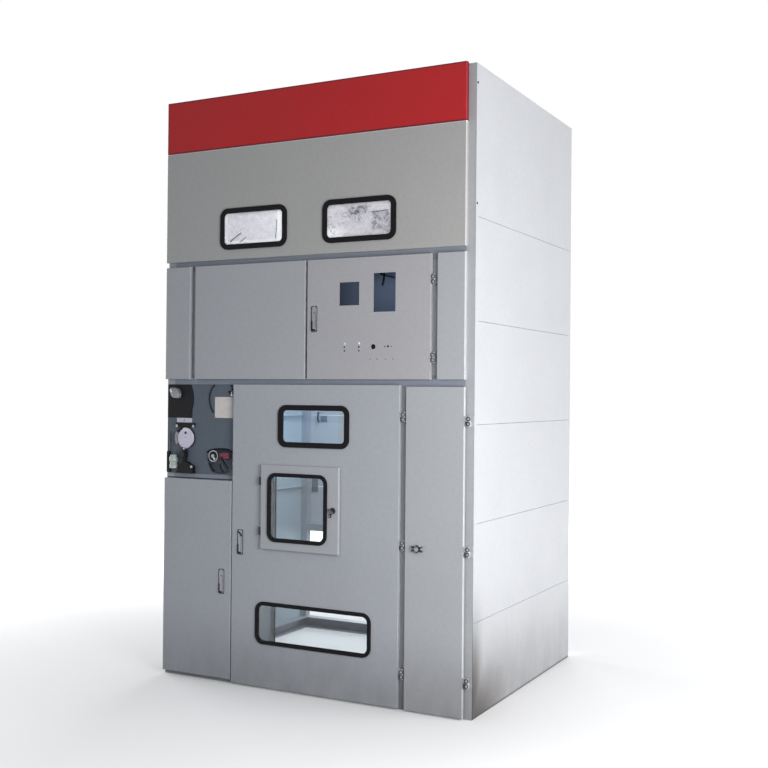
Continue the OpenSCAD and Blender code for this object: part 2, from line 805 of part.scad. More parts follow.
module left_door_panel() {
    color(cab_grey) {
        difference() {
            tray(panel_x0, left_door_x1, left_door_lift, left_door_z1, y_face, fold_d);
            lock_cut(left_lock);
            for (z = left_hinges) concealed_notch(left_axis, panel_x0, z);
        }
        for (z = left_hinges) concealed_block(left_axis, z);
    }
}

module left_door_lock() {
    color(zinc) plane_lock(left_lock);
}

module left_door_lever() {
    color(zinc) plane_lever(left_lock);
}

// ---- instrument door, on the right of the row ----

meter_cuts = [[216, 375, 99, 102], [390, 376, 107, 168]];   // centre from the door's corner, size
button_at = [337, 142];
button_r = 11.25;
stud_holes = [for (x = [194, 266], z = [125, 142, 157]) [x, z, 2.5]];
lamp_holes = [[394, 142, 3], [409, 142, 5], [425, 142, 3]];

module instrument_door_panel() {
    color(cab_grey) difference() {
        tray(instr_x0, instr_x1, mid_z0, mid_z1, y_face, fold_d);
        for (c = meter_cuts)
            span([instr_x0 + c[0] - c[2] / 2, y_face - 1, mid_z0 + c[1] - c[3] / 2],
                 [instr_x0 + c[0] + c[2] / 2, y_face + sheet_t + 1, mid_z0 + c[1] + c[3] / 2]);
        for (h = concat([[button_at[0], button_at[1], button_r]], stud_holes, lamp_holes))
            bar_y(instr_x0 + h[0], mid_z0 + h[1], h[2], y_face - 1, y_face + sheet_t + 1);
        lock_cut(instr_lock);
    }
}

module instrument_door_hinges() {
    color(zinc) for (z = instr_hinges)
        hinge_moving(instr_axis, z, barrel_r, pin_r, hinge_len, instr_x1, instr_x1 + 2.5,
                     y_face, y_face + fold_d - 1);
}

module instrument_door_lock() {
    color(zinc) plane_lock(instr_lock);
}

module instrument_door_lever() {
    color(zinc) plane_lever(instr_lock);
}

// ---- relay door, on the left of the row ----

module relay_door_panel() {
    color(cab_grey) {
        difference() {
            tray(relay_x0, relay_x1, mid_z0, mid_z1, y_face, fold_d);
            for (z = relay_hinges) concealed_notch(relay_axis, relay_x0, z);
        }
        for (z = relay_hinges) concealed_block(relay_axis, z);
    }
}

base_frame();
corner_posts();
front_mullions();
frame_rails();
roof_sheet();
rear_sheets();
left_side_sheets();
right_side_sheets();
header_panel();
upper_panel();
upper_window_rubbers();
upper_window_panes();
filler_panels();
instrument_box();
mechanism_plate();
shutter_plate();
compartment_partition();
position_dial();
shaft_knobs();
interlock_bracket();
interlock_levers();
label_plates();
fixed_hinges();
concealed_hinge_arms();
main_door_panel();
main_door_rubbers();
main_door_panes();
main_door_hinges();
main_door_lock();
main_door_lever();
hatch_hinge_leaves();
hatch_panel();
hatch_rubber();
hatch_pane();
hatch_hinges();
hatch_latch();
right_door_panel();
right_door_hinges();
right_door_knob();
left_door_panel();
left_door_lock();
left_door_lever();
instrument_door_panel();
instrument_door_hinges();
instrument_door_lock();
instrument_door_lever();
relay_door_panel();
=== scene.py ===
"""Looks of a fixed type switchgear cubicle: finishes, small fittings, studio and camera.

Shapes are in millimetres until their mesh is made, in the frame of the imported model, and take their places
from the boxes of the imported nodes. Materials, lamps and the camera are in metres.
"""
import json
import math

import bmesh
import bpy
from mathutils import Matrix, Vector


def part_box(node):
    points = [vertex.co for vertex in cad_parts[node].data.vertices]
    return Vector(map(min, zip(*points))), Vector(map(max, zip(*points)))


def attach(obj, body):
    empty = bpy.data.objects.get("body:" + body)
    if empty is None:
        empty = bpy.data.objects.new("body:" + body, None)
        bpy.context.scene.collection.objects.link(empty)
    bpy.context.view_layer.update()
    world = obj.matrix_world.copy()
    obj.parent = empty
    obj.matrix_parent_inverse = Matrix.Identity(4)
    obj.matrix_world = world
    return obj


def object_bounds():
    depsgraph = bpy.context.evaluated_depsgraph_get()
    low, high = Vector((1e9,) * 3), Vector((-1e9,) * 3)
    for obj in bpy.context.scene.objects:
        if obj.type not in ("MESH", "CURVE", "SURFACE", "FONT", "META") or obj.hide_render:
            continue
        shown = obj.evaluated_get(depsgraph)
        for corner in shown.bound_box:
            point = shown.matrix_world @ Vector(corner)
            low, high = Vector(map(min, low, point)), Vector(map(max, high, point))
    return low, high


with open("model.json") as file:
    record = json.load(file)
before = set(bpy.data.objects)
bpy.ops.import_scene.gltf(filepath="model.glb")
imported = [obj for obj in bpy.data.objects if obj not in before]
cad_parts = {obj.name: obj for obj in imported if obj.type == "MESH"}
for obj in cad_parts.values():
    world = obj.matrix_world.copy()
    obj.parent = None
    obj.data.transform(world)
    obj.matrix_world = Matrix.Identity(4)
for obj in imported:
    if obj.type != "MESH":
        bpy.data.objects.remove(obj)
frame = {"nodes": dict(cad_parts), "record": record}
NODES = frame["nodes"]
LOW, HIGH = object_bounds()
MM = 0.001


# ---- places ----

def box(node):
    """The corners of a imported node, in millimetres."""
    low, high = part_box(node)
    return low / MM, high / MM


def solids(node):
    """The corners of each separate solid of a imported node, from the lowest up, then from the left."""
    mesh = NODES[node].data
    places, owner = {}, []
    for vertex in mesh.vertices:
        key = tuple(round(value / MM, 2) for value in vertex.co)
        owner.append(places.setdefault(key, len(places)))
    group = list(range(len(places)))

    def root(item):
        while group[item] != item:
            group[item] = group[group[item]]
            item = group[item]
        return item

    for face in mesh.polygons:
        first = root(owner[face.vertices[0]])
        for vertex in face.vertices[1:]:
            group[root(owner[vertex])] = first
    found = {}
    for place, item in places.items():
        low, high = found.setdefault(root(item), (list(place), list(place)))
        for axis in range(3):
            low[axis] = min(low[axis], place[axis])
            high[axis] = max(high[axis], place[axis])
    return [(Vector(low), Vector(high)) for low, high in
            sorted(found.values(), key=lambda pair: (round(pair[0][2]), pair[0][0]))]


# ---- meshes ----

AXES = {"x": ((0, 1, 0), (0, 0, 1), (1, 0, 0)), "-x": ((0, 0, 1), (0, 1, 0), (-1, 0, 0)),
        "y": ((0, 0, 1), (1, 0, 0), (0, 1, 0)), "-y": ((1, 0, 0), (0, 0, 1), (0, -1, 0)),
        "z": ((1, 0, 0), (0, 1, 0), (0, 0, 1)), "-z": ((0, 1, 0), (1, 0, 0), (0, 0, -1))}


TIP_RADIUS = 0.02
ROD_STEPS = 5
ROD_END_SHARE = 0.72
MERGE_DISTANCE = 0.001
SMOOTH_BELOW = math.radians(38)


class Shape:
    """A mesh built up from turned and drawn forms, each placed by an axis that points out of it."""

    def __init__(self):
        self.mesh = bmesh.new()

    def stations(self, rings):
        """A closed skin over rings of points."""
        rows = [[self.mesh.verts.new(point) for point in ring] for ring in rings]
        count = len(rows[0])
        for below, above in zip(rows, rows[1:]):
            for i in range(count):
                j = (i + 1) % count
                self.mesh.faces.new((below[i], below[j], above[j], above[i]))
        self.mesh.faces.new(list(reversed(rows[0])))
        self.mesh.faces.new(rows[-1])
        return self

    def turned(self, at, axis, profile, sides=24):
        """A lathe form: profile holds (radius, height along axis), from its foot to its crown."""
        u, v, w = (Vector(direction) for direction in AXES[axis])
        rings = []
        for radius, height in profile:
            radius = max(radius, TIP_RADIUS)
            rings.append([Vector(at) + w * height
                          + (u * math.cos(angle) + v * math.sin(angle)) * radius
                          for angle in (2 * math.pi * i / sides for i in range(sides))])
        return self.stations(rings)

    def slab(self, at, axis, outline, depth, edge=0.4):
        """A plate of the outline's points, standing out from at by depth, with a small chamfer."""
        u, v, w = (Vector(direction) for direction in AXES[axis])
        middle = Vector((sum(p[0] for p in outline), sum(p[1] for p in outline))) / len(outline)
        rings = []
        for height, shrink in ((0, 0), (depth - edge, 0), (depth, edge)):
            ring = []
            for x, y in outline:
                out = Vector((x, y)) - middle
                x, y = middle + out * (1 - shrink / max(out.length, edge))
                ring.append(Vector(at) + u * x + v * y + w * height)
            rings.append(ring)
        return self.stations(rings)

    def crowned(self, at, axis, outline, profile):
        """A form whose outline shrinks with height: profile holds (share of the outline, height)."""
        u, v, w = (Vector(direction) for direction in AXES[axis])
        return self.stations([[Vector(at) + (u * x + v * y) * share + w * height for x, y in outline]
                              for share, height in profile])

    def block(self, low, high, edge=0.6):
        """A box with softened edges."""
        low, high = Vector(low), Vector(high)
        made = bmesh.ops.create_cube(self.mesh, size=1, matrix=Matrix.LocRotScale(
            (low + high) / 2, None, high - low))
        edges = {e for v in made["verts"] for e in v.link_edges}
        bmesh.ops.bevel(self.mesh, geom=list(edges), offset=edge, segments=2, profile=0.5, affect="EDGES")
        return self

    def rod(self, points, radius, sides=12):
        """A round bar along a smooth line through the points, a little thinner at its two ends."""
        points = [Vector(p) for p in points]
        line = []
        for i in range(len(points) - 1):
            before, start, end = points[max(i - 1, 0)], points[i], points[i + 1]
            after = points[min(i + 2, len(points) - 1)]
            for k in range(ROD_STEPS):
                t = k / ROD_STEPS
                line.append(0.5 * ((2 * start) + (end - before) * t
                                   + (2 * before - 5 * start + 4 * end - after) * t * t
                                   + (3 * start - before - 3 * end + after) * t ** 3))
        line.append(points[-1])
        across = None
        rings = []
        for i, point in enumerate(line):
            along = (line[min(i + 1, len(line) - 1)] - line[max(i - 1, 0)]).normalized()
            if across is None:
                across = along.orthogonal().normalized()
            across = (across - along * across.dot(along)).normalized()
            other = along.cross(across)
            size = radius * (ROD_END_SHARE if i in (0, len(line) - 1) else 1)
            rings.append([point + (across * math.cos(angle) + other * math.sin(angle)) * size
                          for angle in (2 * math.pi * k / sides for k in range(sides))])
        return self.stations(rings)

    def done(self, name, body, slot, material):
        """The finished piece, riding on its body."""
        bmesh.ops.remove_doubles(self.mesh, verts=self.mesh.verts, dist=MERGE_DISTANCE)
        bmesh.ops.recalc_face_normals(self.mesh, faces=self.mesh.faces)
        bmesh.ops.scale(self.mesh, vec=(MM, MM, MM), verts=self.mesh.verts)
        for edge in self.mesh.edges:
            edge.smooth = len(edge.link_faces) == 2 and edge.calc_face_angle(0) < SMOOTH_BELOW
        for face in self.mesh.faces:
            face.smooth = True
        data = bpy.data.meshes.new(name)
        self.mesh.to_mesh(data)
        self.mesh.free()
        data.materials.append(material)
        piece = bpy.data.objects.new(name, data)
        bpy.context.collection.objects.link(piece)
        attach(piece, body)
        return piece


def rounded(width, height, radius, steps=6):
    """The outline of a rectangle with round corners, about its middle."""
    points = []
    for quarter in range(4):
        side = 1 if quarter in (0, 3) else -1
        level = 1 if quarter in (0, 1) else -1
        for step in range(steps + 1):
            angle = math.pi / 2 * (quarter + step / steps)
            points.append((side * (width / 2 - radius) + radius * math.cos(angle),
                           level * (height / 2 - radius) + radius * math.sin(angle)))
    return points


def arc(middle, radius, start, end, steps=16):
    """Points along an arc from start to end, in degrees from +X towards +Z."""
    angles = [math.radians(start + (end - start) * i / steps) for i in range(steps + 1)]
    return [(middle[0] + radius * math.cos(a), middle[1] + radius * math.sin(a)) for a in angles]


# ---- node helpers ----

class Graph:
    """A material's node tree, with one short call for each node."""

    def __init__(self, name):
        self.material = bpy.data.materials.new(name)
        self.material.use_nodes = True
        self.tree = self.material.node_tree
        self.tree.nodes.clear()
        self.out = self.add("ShaderNodeOutputMaterial")

    def add(self, kind, inputs=None, **settings):
        """A new node, with its inputs linked or set."""
        node = self.tree.nodes.new(kind)
        for key, value in settings.items():
            setattr(node, key, value)
        for key, value in (inputs or {}).items():
            self.put(node.inputs[key], value)
        return node

    def put(self, socket, value):
        if isinstance(value, bpy.types.NodeSocket):
            self.tree.links.new(value, socket)
        else:
            socket.default_value = value

    def place(self):
        """The x, y and z of the surface, in metres."""
        coords = self.add("ShaderNodeTexCoord").outputs["Object"]
        return self.add("ShaderNodeSeparateXYZ", {"Vector": coords}).outputs

    def coords(self, scale=(1, 1, 1)):
        """The place on the surface, stretched by axis."""
        place = self.add("ShaderNodeTexCoord").outputs["Object"]
        return self.add("ShaderNodeMapping", {"Vector": place, "Scale": scale}).outputs["Vector"]

    def noise(self, scale, detail=3.0, roughness=0.5, stretch=(1, 1, 1), distortion=0.0):
        """Noise on the surface, from 0 to 1."""
        return self.add("ShaderNodeTexNoise", {"Vector": self.coords(stretch), "Scale": scale,
                                               "Detail": detail, "Roughness": roughness,
                                               "Distortion": distortion}).outputs["Fac"]

    def ramp(self, value, stops):
        """value read off the stops, each (value, level or colour)."""
        node = self.add("ShaderNodeValToRGB", {"Fac": value})
        marks = node.color_ramp.elements
        while len(marks) < len(stops):
            marks.new(0.5)
        for mark, (at, level) in zip(marks, stops):
            mark.position = at
            mark.color = (level, level, level, 1) if isinstance(level, (int, float)) else (*level, 1)
        return node.outputs["Color"]

    def span(self, value, low, high, to_low=0.0, to_high=1.0):
        """value's way from low to high, as a share from to_low to to_high, smooth at both ends."""
        return self.add("ShaderNodeMapRange", {"Value": value, "From Min": low, "From Max": high,
                                               "To Min": to_low, "To Max": to_high},
                        interpolation_type="SMOOTHSTEP").outputs["Result"]

    def mix(self, factor, a, b, mode="MIX"):
        node = self.add("ShaderNodeMix", data_type="RGBA", blend_type=mode)
        for index, value in ((0, factor), (6, a), (7, b)):
            if isinstance(value, tuple):
                value = (*value, 1)
            self.put(node.inputs[index], value)
        return node.outputs[2]

    def math(self, operation, a, b=0.0, clamp=False):
        node = self.add("ShaderNodeMath", operation=operation, use_clamp=clamp)
        self.put(node.inputs[0], a)
        self.put(node.inputs[1], b)
        return node.outputs[0]

    def bump(self, height, strength, distance, normal=None):
        """A normal for relief from the height, on top of another normal if one is given."""
        inputs = {"Height": height, "Strength": strength, "Distance": distance}
        if normal is not None:
            inputs["Normal"] = normal
        return self.add("ShaderNodeBump", inputs).outputs["Normal"]

    def shader(self, **sockets):
        """A Principled shader, with underscores for the spaces in its sockets' names."""
        shader = self.add("ShaderNodeBsdfPrincipled")
        for key, value in sockets.items():
            if isinstance(value, tuple):
                value = (*value, 1)
            self.put(shader.inputs[key.replace("_", " ")], value)
        return shader.outputs[0]

    def finish(self, surface):
        self.tree.links.new(surface, self.out.inputs["Surface"])
        return self.material


def linear(red, green, blue):
    """A colour given as display values from 0 to 255, as linear light."""
    def one(level):
        level /= 255
        return level / 12.92 if level <= 0.04045 else ((level + 0.055) / 1.055) ** 2.4
    return one(red), one(green), one(blue)


def dimmed(colour, share):
    """A colour at a share of its light."""
    return tuple(channel * share for channel in colour)


# ---- materials ----

# Painted shade: painted sheet grows darker towards the floor, broken up by noise.
LOW_SHADE = linear(124, 124, 126)
LOW_SHADE_REACH = 0.38
LOW_SHADE_SHARE = 0.68
# Painted shade and reflection of the ground on the side sheets, and a painted contact shadow along their
# bottom.
GROUND_SHADE = linear(104, 100, 100)
GROUND_SHADE_REACH = 0.66
GROUND_REFLECTION_BROWN = linear(56, 50, 47)
CONTACT_SHADOW = linear(50, 44, 42)
SKIN = 0.001
INNER_SIDE = linear(168, 182, 193)
INNER_REAR = linear(186, 193, 200)


def powder_coat(name, colour, rough=0.42, extra=None):
    """Powder-coated sheet: orange peel, the slight waves of thin sheet, faint smudges and painted shade low
    down.
    """
    g = Graph(name)
    smudge = g.ramp(g.noise(2.1, 5, 0.62, distortion=0.4), [(0.44, 0.0), (0.74, 1.0)])
    tint = g.mix(g.math("MULTIPLY", smudge, 0.26), colour, dimmed(colour, 0.87))
    tint = g.mix(1.0, tint, g.ramp(g.noise(55, 3, 0.6), [(0.3, 0.965), (0.7, 1.035)]), "MULTIPLY")
    where = g.place()
    # Painted shade towards the floor, broken up by noise.
    low_shade = g.span(where["Z"], 0.0, LOW_SHADE_REACH, 1.0, 0.0)
    low_shade = g.math("MULTIPLY", low_shade, g.ramp(g.noise(9, 5, 0.65, (1, 1, 0.5)), [(0.3, 0.5), (0.75, 1.0)]))
    tint = g.mix(g.math("MULTIPLY", low_shade, LOW_SHADE_SHARE), tint, LOW_SHADE)
    if extra:
        tint = extra(g, tint, where)
    rub = g.ramp(g.noise(14, 6, 0.7, (1, 1, 0.25)), [(0.60, 0.0), (0.78, 1.0)])
    level = g.span(g.noise(5, 4, 0.6), 0.3, 0.7, rough - 0.05, rough + 0.07)
    level = g.math("ADD", level, g.math("MULTIPLY", rub, 0.06))
    waves = g.bump(g.noise(2.6, 1, 0.4), 0.16, 0.004)
    peel = g.bump(g.noise(850, 2, 0.5), 0.12, 0.00025, waves)
    return g.finish(g.shader(Base_Color=tint, Roughness=level, Normal=peel))


def side_tint_and_ground_shade(g, tint, where):
    """A side sheet: bluer inside; outside, cloudy painted shade and reflection of the ground low down, a
    brown painted reflection along the front edge and at the foot, and a painted contact shadow along the
    bottom.
    """
    inner = g.span(g.math("ABSOLUTE", where["X"]), HIGH[0] - SKIN * 1.2, HIGH[0] - SKIN * 0.8, 1.0, 0.0)
    tint = g.mix(inner, tint, INNER_SIDE)
    # Painted shade and reflection of the ground, cloudy, strongest low at the front.
    rise = g.math("POWER", g.span(where["Z"], 0.0, GROUND_SHADE_REACH, 1.0, 0.0), 1.4)
    front = g.span(where["Y"], LOW[1] + 0.02, 0.5, 1.0, 0.1)
    patches = g.ramp(g.noise(2.6, 5, 0.62, (1, 1, 0.6), 0.9), [(0.3, 0.2), (0.62, 1.0)])
    streaks = g.ramp(g.noise(7, 4, 0.6, (1, 1, 0.12)), [(0.3, 0.75), (0.7, 1.0)])
    ground_shade_amount = g.math("MULTIPLY", g.math("MULTIPLY", rise, front), g.math("MULTIPLY", patches, streaks))
    tint = g.mix(g.math("MULTIPLY", ground_shade_amount, 0.72, clamp=True), tint, GROUND_SHADE)
    # Painted reflection of the brown ground along the front edge and at the foot.
    edge = g.math("MULTIPLY", g.span(where["Z"], 0.05, 0.62, 1.0, 0.0),
                  g.span(where["Y"], -0.62, -0.5, 1.0, 0.0))
    foot = g.math("MULTIPLY", g.span(where["Z"], 0.0, 0.26, 1.0, 0.0),
                  g.span(where["Y"], -0.62, -0.2, 1.0, 0.0))
    tint = g.mix(g.math("MULTIPLY", g.math("MAXIMUM", edge, foot), 0.96), tint, GROUND_REFLECTION_BROWN)
    # Painted contact shadow along the bottom edge.
    return g.mix(g.span(where["Z"], 0.004, 0.014, 0.8, 0.0), tint, CONTACT_SHADOW)


def header_edge_shade(g, tint, where):
    """The header's paint, with painted shade in a darker purple along its edges and returns."""
    low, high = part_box("header_panel")
    rim = g.span(where["Z"], high.z - 0.009, high.z - 0.003)
    for edge in (g.span(where["Z"], low.z + 0.002, low.z + 0.007, 1.0, 0.0),
                 g.span(where["X"], low.x + 0.003, low.x + 0.009, 1.0, 0.0),
                 g.span(where["Y"], low.y + 0.001, low.y + 0.004)):
        rim = g.math("MAXIMUM", rim, edge)
    return g.mix(g.math("MULTIPLY", rim, 0.8), tint, linear(92, 30, 50))


def upper_fold_highlight(g, tint, where):
    """A painted highlight: a pale line along the upper panel's top fold."""
    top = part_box("upper_panel")[1].z
    return g.mix(g.span(where["Z"], top - 0.006, top - 0.002, 0.0, 0.8), tint, linear(250, 232, 228))


def rear_inside(g, tint, where):
    """The rear sheets are a colder grey inside."""
    inner = g.span(where["Y"], HIGH[1] - SKIN * 1.5, HIGH[1] - SKIN * 0.5, 1.0, 0.0)
    return g.mix(inner, tint, INNER_REAR)


def rear_blue(g, tint, where):
    """Posts and mullions at the front keep their own grey, rear ones take the inner frame's."""
    return g.mix(g.span(where["Y"], -0.1, 0.1), tint, STEEL_BLUE)


def plain(name, colour, rough, metal=0.0, fleck=0.08, grain=1500, depth=0.12, specular=0.5, extra=None):
    """A small part's finish: fine grain, uneven gloss and a little rubbing."""
    g = Graph(name)
    level = g.span(g.noise(90, 3, 0.6), 0.25, 0.75, rough - 0.06, rough + 0.09)
    tint = g.mix(1.0, colour, g.ramp(g.noise(42, 4, 0.6), [(0.3, 1 - fleck), (0.7, 1 + fleck)]), "MULTIPLY")
    if extra:
        tint = extra(g, tint, g.place())
    bump = g.bump(g.noise(grain, 2, 0.5), depth, 0.0001)
    return g.finish(g.shader(Base_Color=tint, Roughness=level, Metallic=metal, Specular_IOR_Level=specular,
                             Normal=bump))


def dial_top_highlight(g, tint, where):
    """A painted highlight: a whiter segment at the top of the dial."""
    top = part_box("position_dial")[1].z
    return g.mix(g.span(where["Z"], top - 0.016, top - 0.014), linear(236, 230, 248), tint)


def tag_grey(g, tint, where):
    """The tag strip under the shutter is a lavender grey, the large label a warm one."""
    edge = (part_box("position_dial")[1].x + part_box("label_plates")[1].x) / 2
    return g.mix(g.span(where["X"], edge, edge + 0.01), linear(226, 226, 236), tint)


def zinc(name, colour, rough=0.27):
    """Bright zinc plate, dulled in spots."""
    g = Graph(name)
    spots = g.ramp(g.noise(130, 5, 0.7), [(0.48, 0.0), (0.66, 1.0)])
    tint = g.mix(g.math("MULTIPLY", spots, 0.4), colour, dimmed(colour, 0.62))
    level = g.span(g.noise(75, 4, 0.6), 0.3, 0.7, rough - 0.08, rough + 0.12)
    bump = g.bump(g.noise(1100, 3, 0.6), 0.15, 0.00012)
    return g.finish(g.shader(Base_Color=tint, Roughness=level, Metallic=1.0, Normal=bump))


def masked(name, first, *others):
    """Several finishes on one node, each (colour, roughness, metal), with a mask before each further one."""
    g = Graph(name)
    where = g.place()
    flecks = g.ramp(g.noise(60, 4, 0.6), [(0.3, 0.9), (0.7, 1.08)])
    bump = g.bump(g.noise(1200, 2, 0.5), 0.12, 0.0001)

    def coat(colour, rough, metal):
        tint = g.mix(1.0, colour, flecks, "MULTIPLY")
        level = g.span(g.noise(80, 3, 0.6), 0.25, 0.75, rough - 0.06, rough + 0.09)
        return g.shader(Base_Color=tint, Roughness=level, Metallic=metal, Normal=bump)

    surface = coat(*first)
    for pick, *finish in others:
        surface = g.add("ShaderNodeMixShader", {0: pick(g, where), 1: surface, 2: coat(*finish)}).outputs[0]
    return g.finish(surface)


def clear_glass(name):
    """Float glass with a few fine wipe marks."""
    g = Graph(name)
    level = g.ramp(g.noise(6, 6, 0.7, (1, 1, 0.3)), [(0.55, 0.0), (0.9, 0.05)])
    return g.finish(g.shader(Base_Color=(0.90, 0.96, 0.97), Roughness=level, IOR=1.45,
                             Transmission_Weight=1.0))


def within(g, value, low, high, soft):
    """A mask that is 1 from low to high and falls off over a soft margin on both sides."""
    return g.math("MULTIPLY", g.span(value, low - soft, low), g.span(value, high, high + soft, 1.0, 0.0))


FILM_INK = linear(104, 106, 126)


def filmed_glass(name):
    """Glass under its crinkled, milky film, creased on the right pane, with painted light: white along the
    left pane's edges and low on the right pane.
    """
    g = Graph(name)
    low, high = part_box("upper_window_panes")
    folds = g.noise(60, 5, 0.65, (1, 1, 1.2), 1.2)
    cloud = g.noise(13, 4, 0.6, (1, 1, 1.4), 0.8)
    where = g.place()
    right = g.span(where["X"], -0.1, 0.1)
    tint = g.mix(right, linear(241, 240, 242), linear(232, 230, 232))
    tint = g.mix(1.0, tint, g.ramp(folds, [(0.3, 0.84), (0.62, 1.05)]), "MULTIPLY")
    # Painted light: white along the left pane's edges and low at the right pane's left side.
    left_pane_light = g.math("MAXIMUM", g.span(where["X"], low.x + 0.014, low.x + 0.028, 1.0, 0.0),
                    within(g, where["X"], low.x + 0.302, low.x + 0.33, 0.006))
    left_pane_light = g.math("MAXIMUM", left_pane_light, g.span(where["Z"], low.z + 0.014, low.z + 0.024, 1.0, 0.0))
    right_pane_light = g.math("MULTIPLY", g.span(where["X"], high.x - 0.31, high.x - 0.21, 1.0, 0.0),
                   g.span(where["Z"], low.z + 0.02, low.z + 0.075, 1.0, 0.0))
    white = g.mix(right, left_pane_light, right_pane_light)
    tint = g.mix(g.math("MULTIPLY", white, 1.2, clamp=True), tint, linear(255, 255, 255))
    ridge = g.math("ABSOLUTE", g.math("SUBTRACT", g.noise(17, 4, 0.6, (1, 1, 1.3), 1.6), 0.5))
    crease = g.math("MULTIPLY", g.ramp(ridge, [(0.004, 1.0), (0.02, 0.0)]),
                    g.ramp(cloud, [(0.46, 0.0), (0.6, 1.0)]))
    crease = g.math("MULTIPLY", crease, g.span(right, 0.0, 1.0, 0.2, 0.8))
    upper = g.math("MULTIPLY", within(g, where["X"], high.x - 0.2, high.x - 0.14, 0.03),
                   within(g, where["Z"], high.z - 0.05, high.z - 0.025, 0.012))
    lower = g.math("MULTIPLY", within(g, where["X"], high.x - 0.09, high.x - 0.02, 0.02),
                   within(g, where["Z"], low.z + 0.04, low.z + 0.1, 0.02))
    blots = g.math("MULTIPLY", g.math("MAXIMUM", upper, g.math("MULTIPLY", lower, 0.7)),
                   g.ramp(g.noise(52, 4, 0.7, distortion=1.0), [(0.46, 0.0), (0.56, 1.0)]))
    tint = g.mix(g.math("MAXIMUM", crease, g.math("MULTIPLY", blots, 0.85)), tint, FILM_INK)
    shine = g.bump(g.math("ADD", folds, g.math("MULTIPLY", cloud, 1.5)), 0.5, 0.003)
    sheet = g.shader(Base_Color=tint, Roughness=0.4, Normal=shine)
    glow = g.add("ShaderNodeBsdfTranslucent", {"Color": tint, "Normal": shine}).outputs[0]
    film = g.add("ShaderNodeMixShader", {0: 0.45, 1: sheet, 2: glow}).outputs[0]
    pane = g.shader(Base_Color=(0.93, 0.96, 0.98), Roughness=0.04, IOR=1.45, Transmission_Weight=1.0)
    milk = g.ramp(cloud, [(0.36, 0.92), (0.58, 1.0)])
    return g.finish(g.add("ShaderNodeMixShader", {0: milk, 1: pane, 2: film}).outputs[0])


GREY = linear(188, 190, 194)
STEEL_BLUE = linear(150, 156, 168)
CABINET = powder_coat("cabinet_grey", GREY)
UPPER = powder_coat("upper_grey", linear(188, 187, 185), extra=upper_fold_highlight)
DOOR_BLUE = powder_coat("door_grey", linear(186, 189, 195))
INSTRUMENT = powder_coat("instrument_grey", linear(189, 188, 192))
SIDES = powder_coat("side_grey", GREY, extra=side_tint_and_ground_shade)
FRAME = powder_coat("frame_grey", STEEL_BLUE, 0.5)
POSTS = powder_coat("post_grey", linear(182, 184, 187), extra=rear_blue)
REAR = powder_coat("rear_grey", GREY, extra=rear_inside)
RED = powder_coat("header_red", linear(203, 37, 42), 0.5, extra=header_edge_shade)
RUBBER = plain("rubber", linear(14, 13, 18), 0.6, fleck=0.15, grain=700, depth=0.3, specular=0.25)
FOAM = plain("foam_seal", linear(30, 30, 33), 0.85, fleck=0.2, grain=500, depth=0.7)
GLASS = clear_glass("glass")
FILM = filmed_glass("filmed_glass")
ZINC = zinc("zinc", linear(196, 198, 202))
BRIGHT = zinc("bright_zinc", linear(224, 225, 228), 0.2)
DULL = plain("dull_zinc", linear(112, 110, 114), 0.45, metal=1.0, fleck=0.12)
SATIN = plain("satin_zinc", linear(172, 174, 179), 0.4, metal=0.5, fleck=0.06)
DARK = plain("dark_metal", linear(20, 20, 24), 0.5, fleck=0.15, specular=0.3)
BLACKENED = plain("blackened", linear(52, 52, 57), 0.5, fleck=0.12)
SLATE = plain("slate", linear(96, 106, 118), 0.5, fleck=0.06)
DIAL = plain("dial_white", linear(250, 247, 255), 0.36, fleck=0.05, extra=dial_top_highlight)
LABEL = plain("label", linear(238, 231, 226), 0.5, fleck=0.06, extra=tag_grey)
FILM_CREASE = plain("film_crease", linear(104, 100, 112), 0.5, fleck=0.2)
PLUG = plain("plug_white", linear(246, 246, 248), 0.3, fleck=0.03)
INSIDE = powder_coat("inside_grey", linear(140, 152, 172), 0.5)

# The heights of the black middle knob, and the plane beside the levers' bright hub, both in metres.
MIDDLE_KNOB = (1.0355, 1.10)
LEVER_HUB_SIDE = -0.4845
KNOBS = masked("shaft_knob_finish", (linear(168, 170, 174), 0.4, 0.6),
               (lambda g, at: g.math("MULTIPLY", g.span(at["Z"], MIDDLE_KNOB[0] - 0.001, MIDDLE_KNOB[0]),
                                     g.span(at["Z"], MIDDLE_KNOB[1], MIDDLE_KNOB[1] + 0.001, 1.0, 0.0)),
                linear(24, 24, 28), 0.45, 0.0))
KNOB_GREY = plain("knob_grey", linear(158, 160, 164), 0.42, metal=0.3, fleck=0.1)
ROLLER_GREEN = plain("roller_green", linear(190, 200, 194), 0.45, metal=0.3, fleck=0.08)
# A dark slate for painted shade along edges.
SHADE_SLATE = plain("shade_slate", linear(40, 44, 52), 0.55, fleck=0.1, specular=0.3)
LEVERS = masked("lever_finish", (linear(136, 60, 80), 0.42, 0.0),
                (lambda g, at: g.span(at["Y"], -0.652, -0.6505, 1.0, 0.0), linear(20, 20, 24), 0.5, 0.0),
                (lambda g, at: g.span(at["X"], LEVER_HUB_SIDE - 0.001, LEVER_HUB_SIDE, 1.0, 0.0),
                 linear(170, 172, 177), 0.36, 1.0))

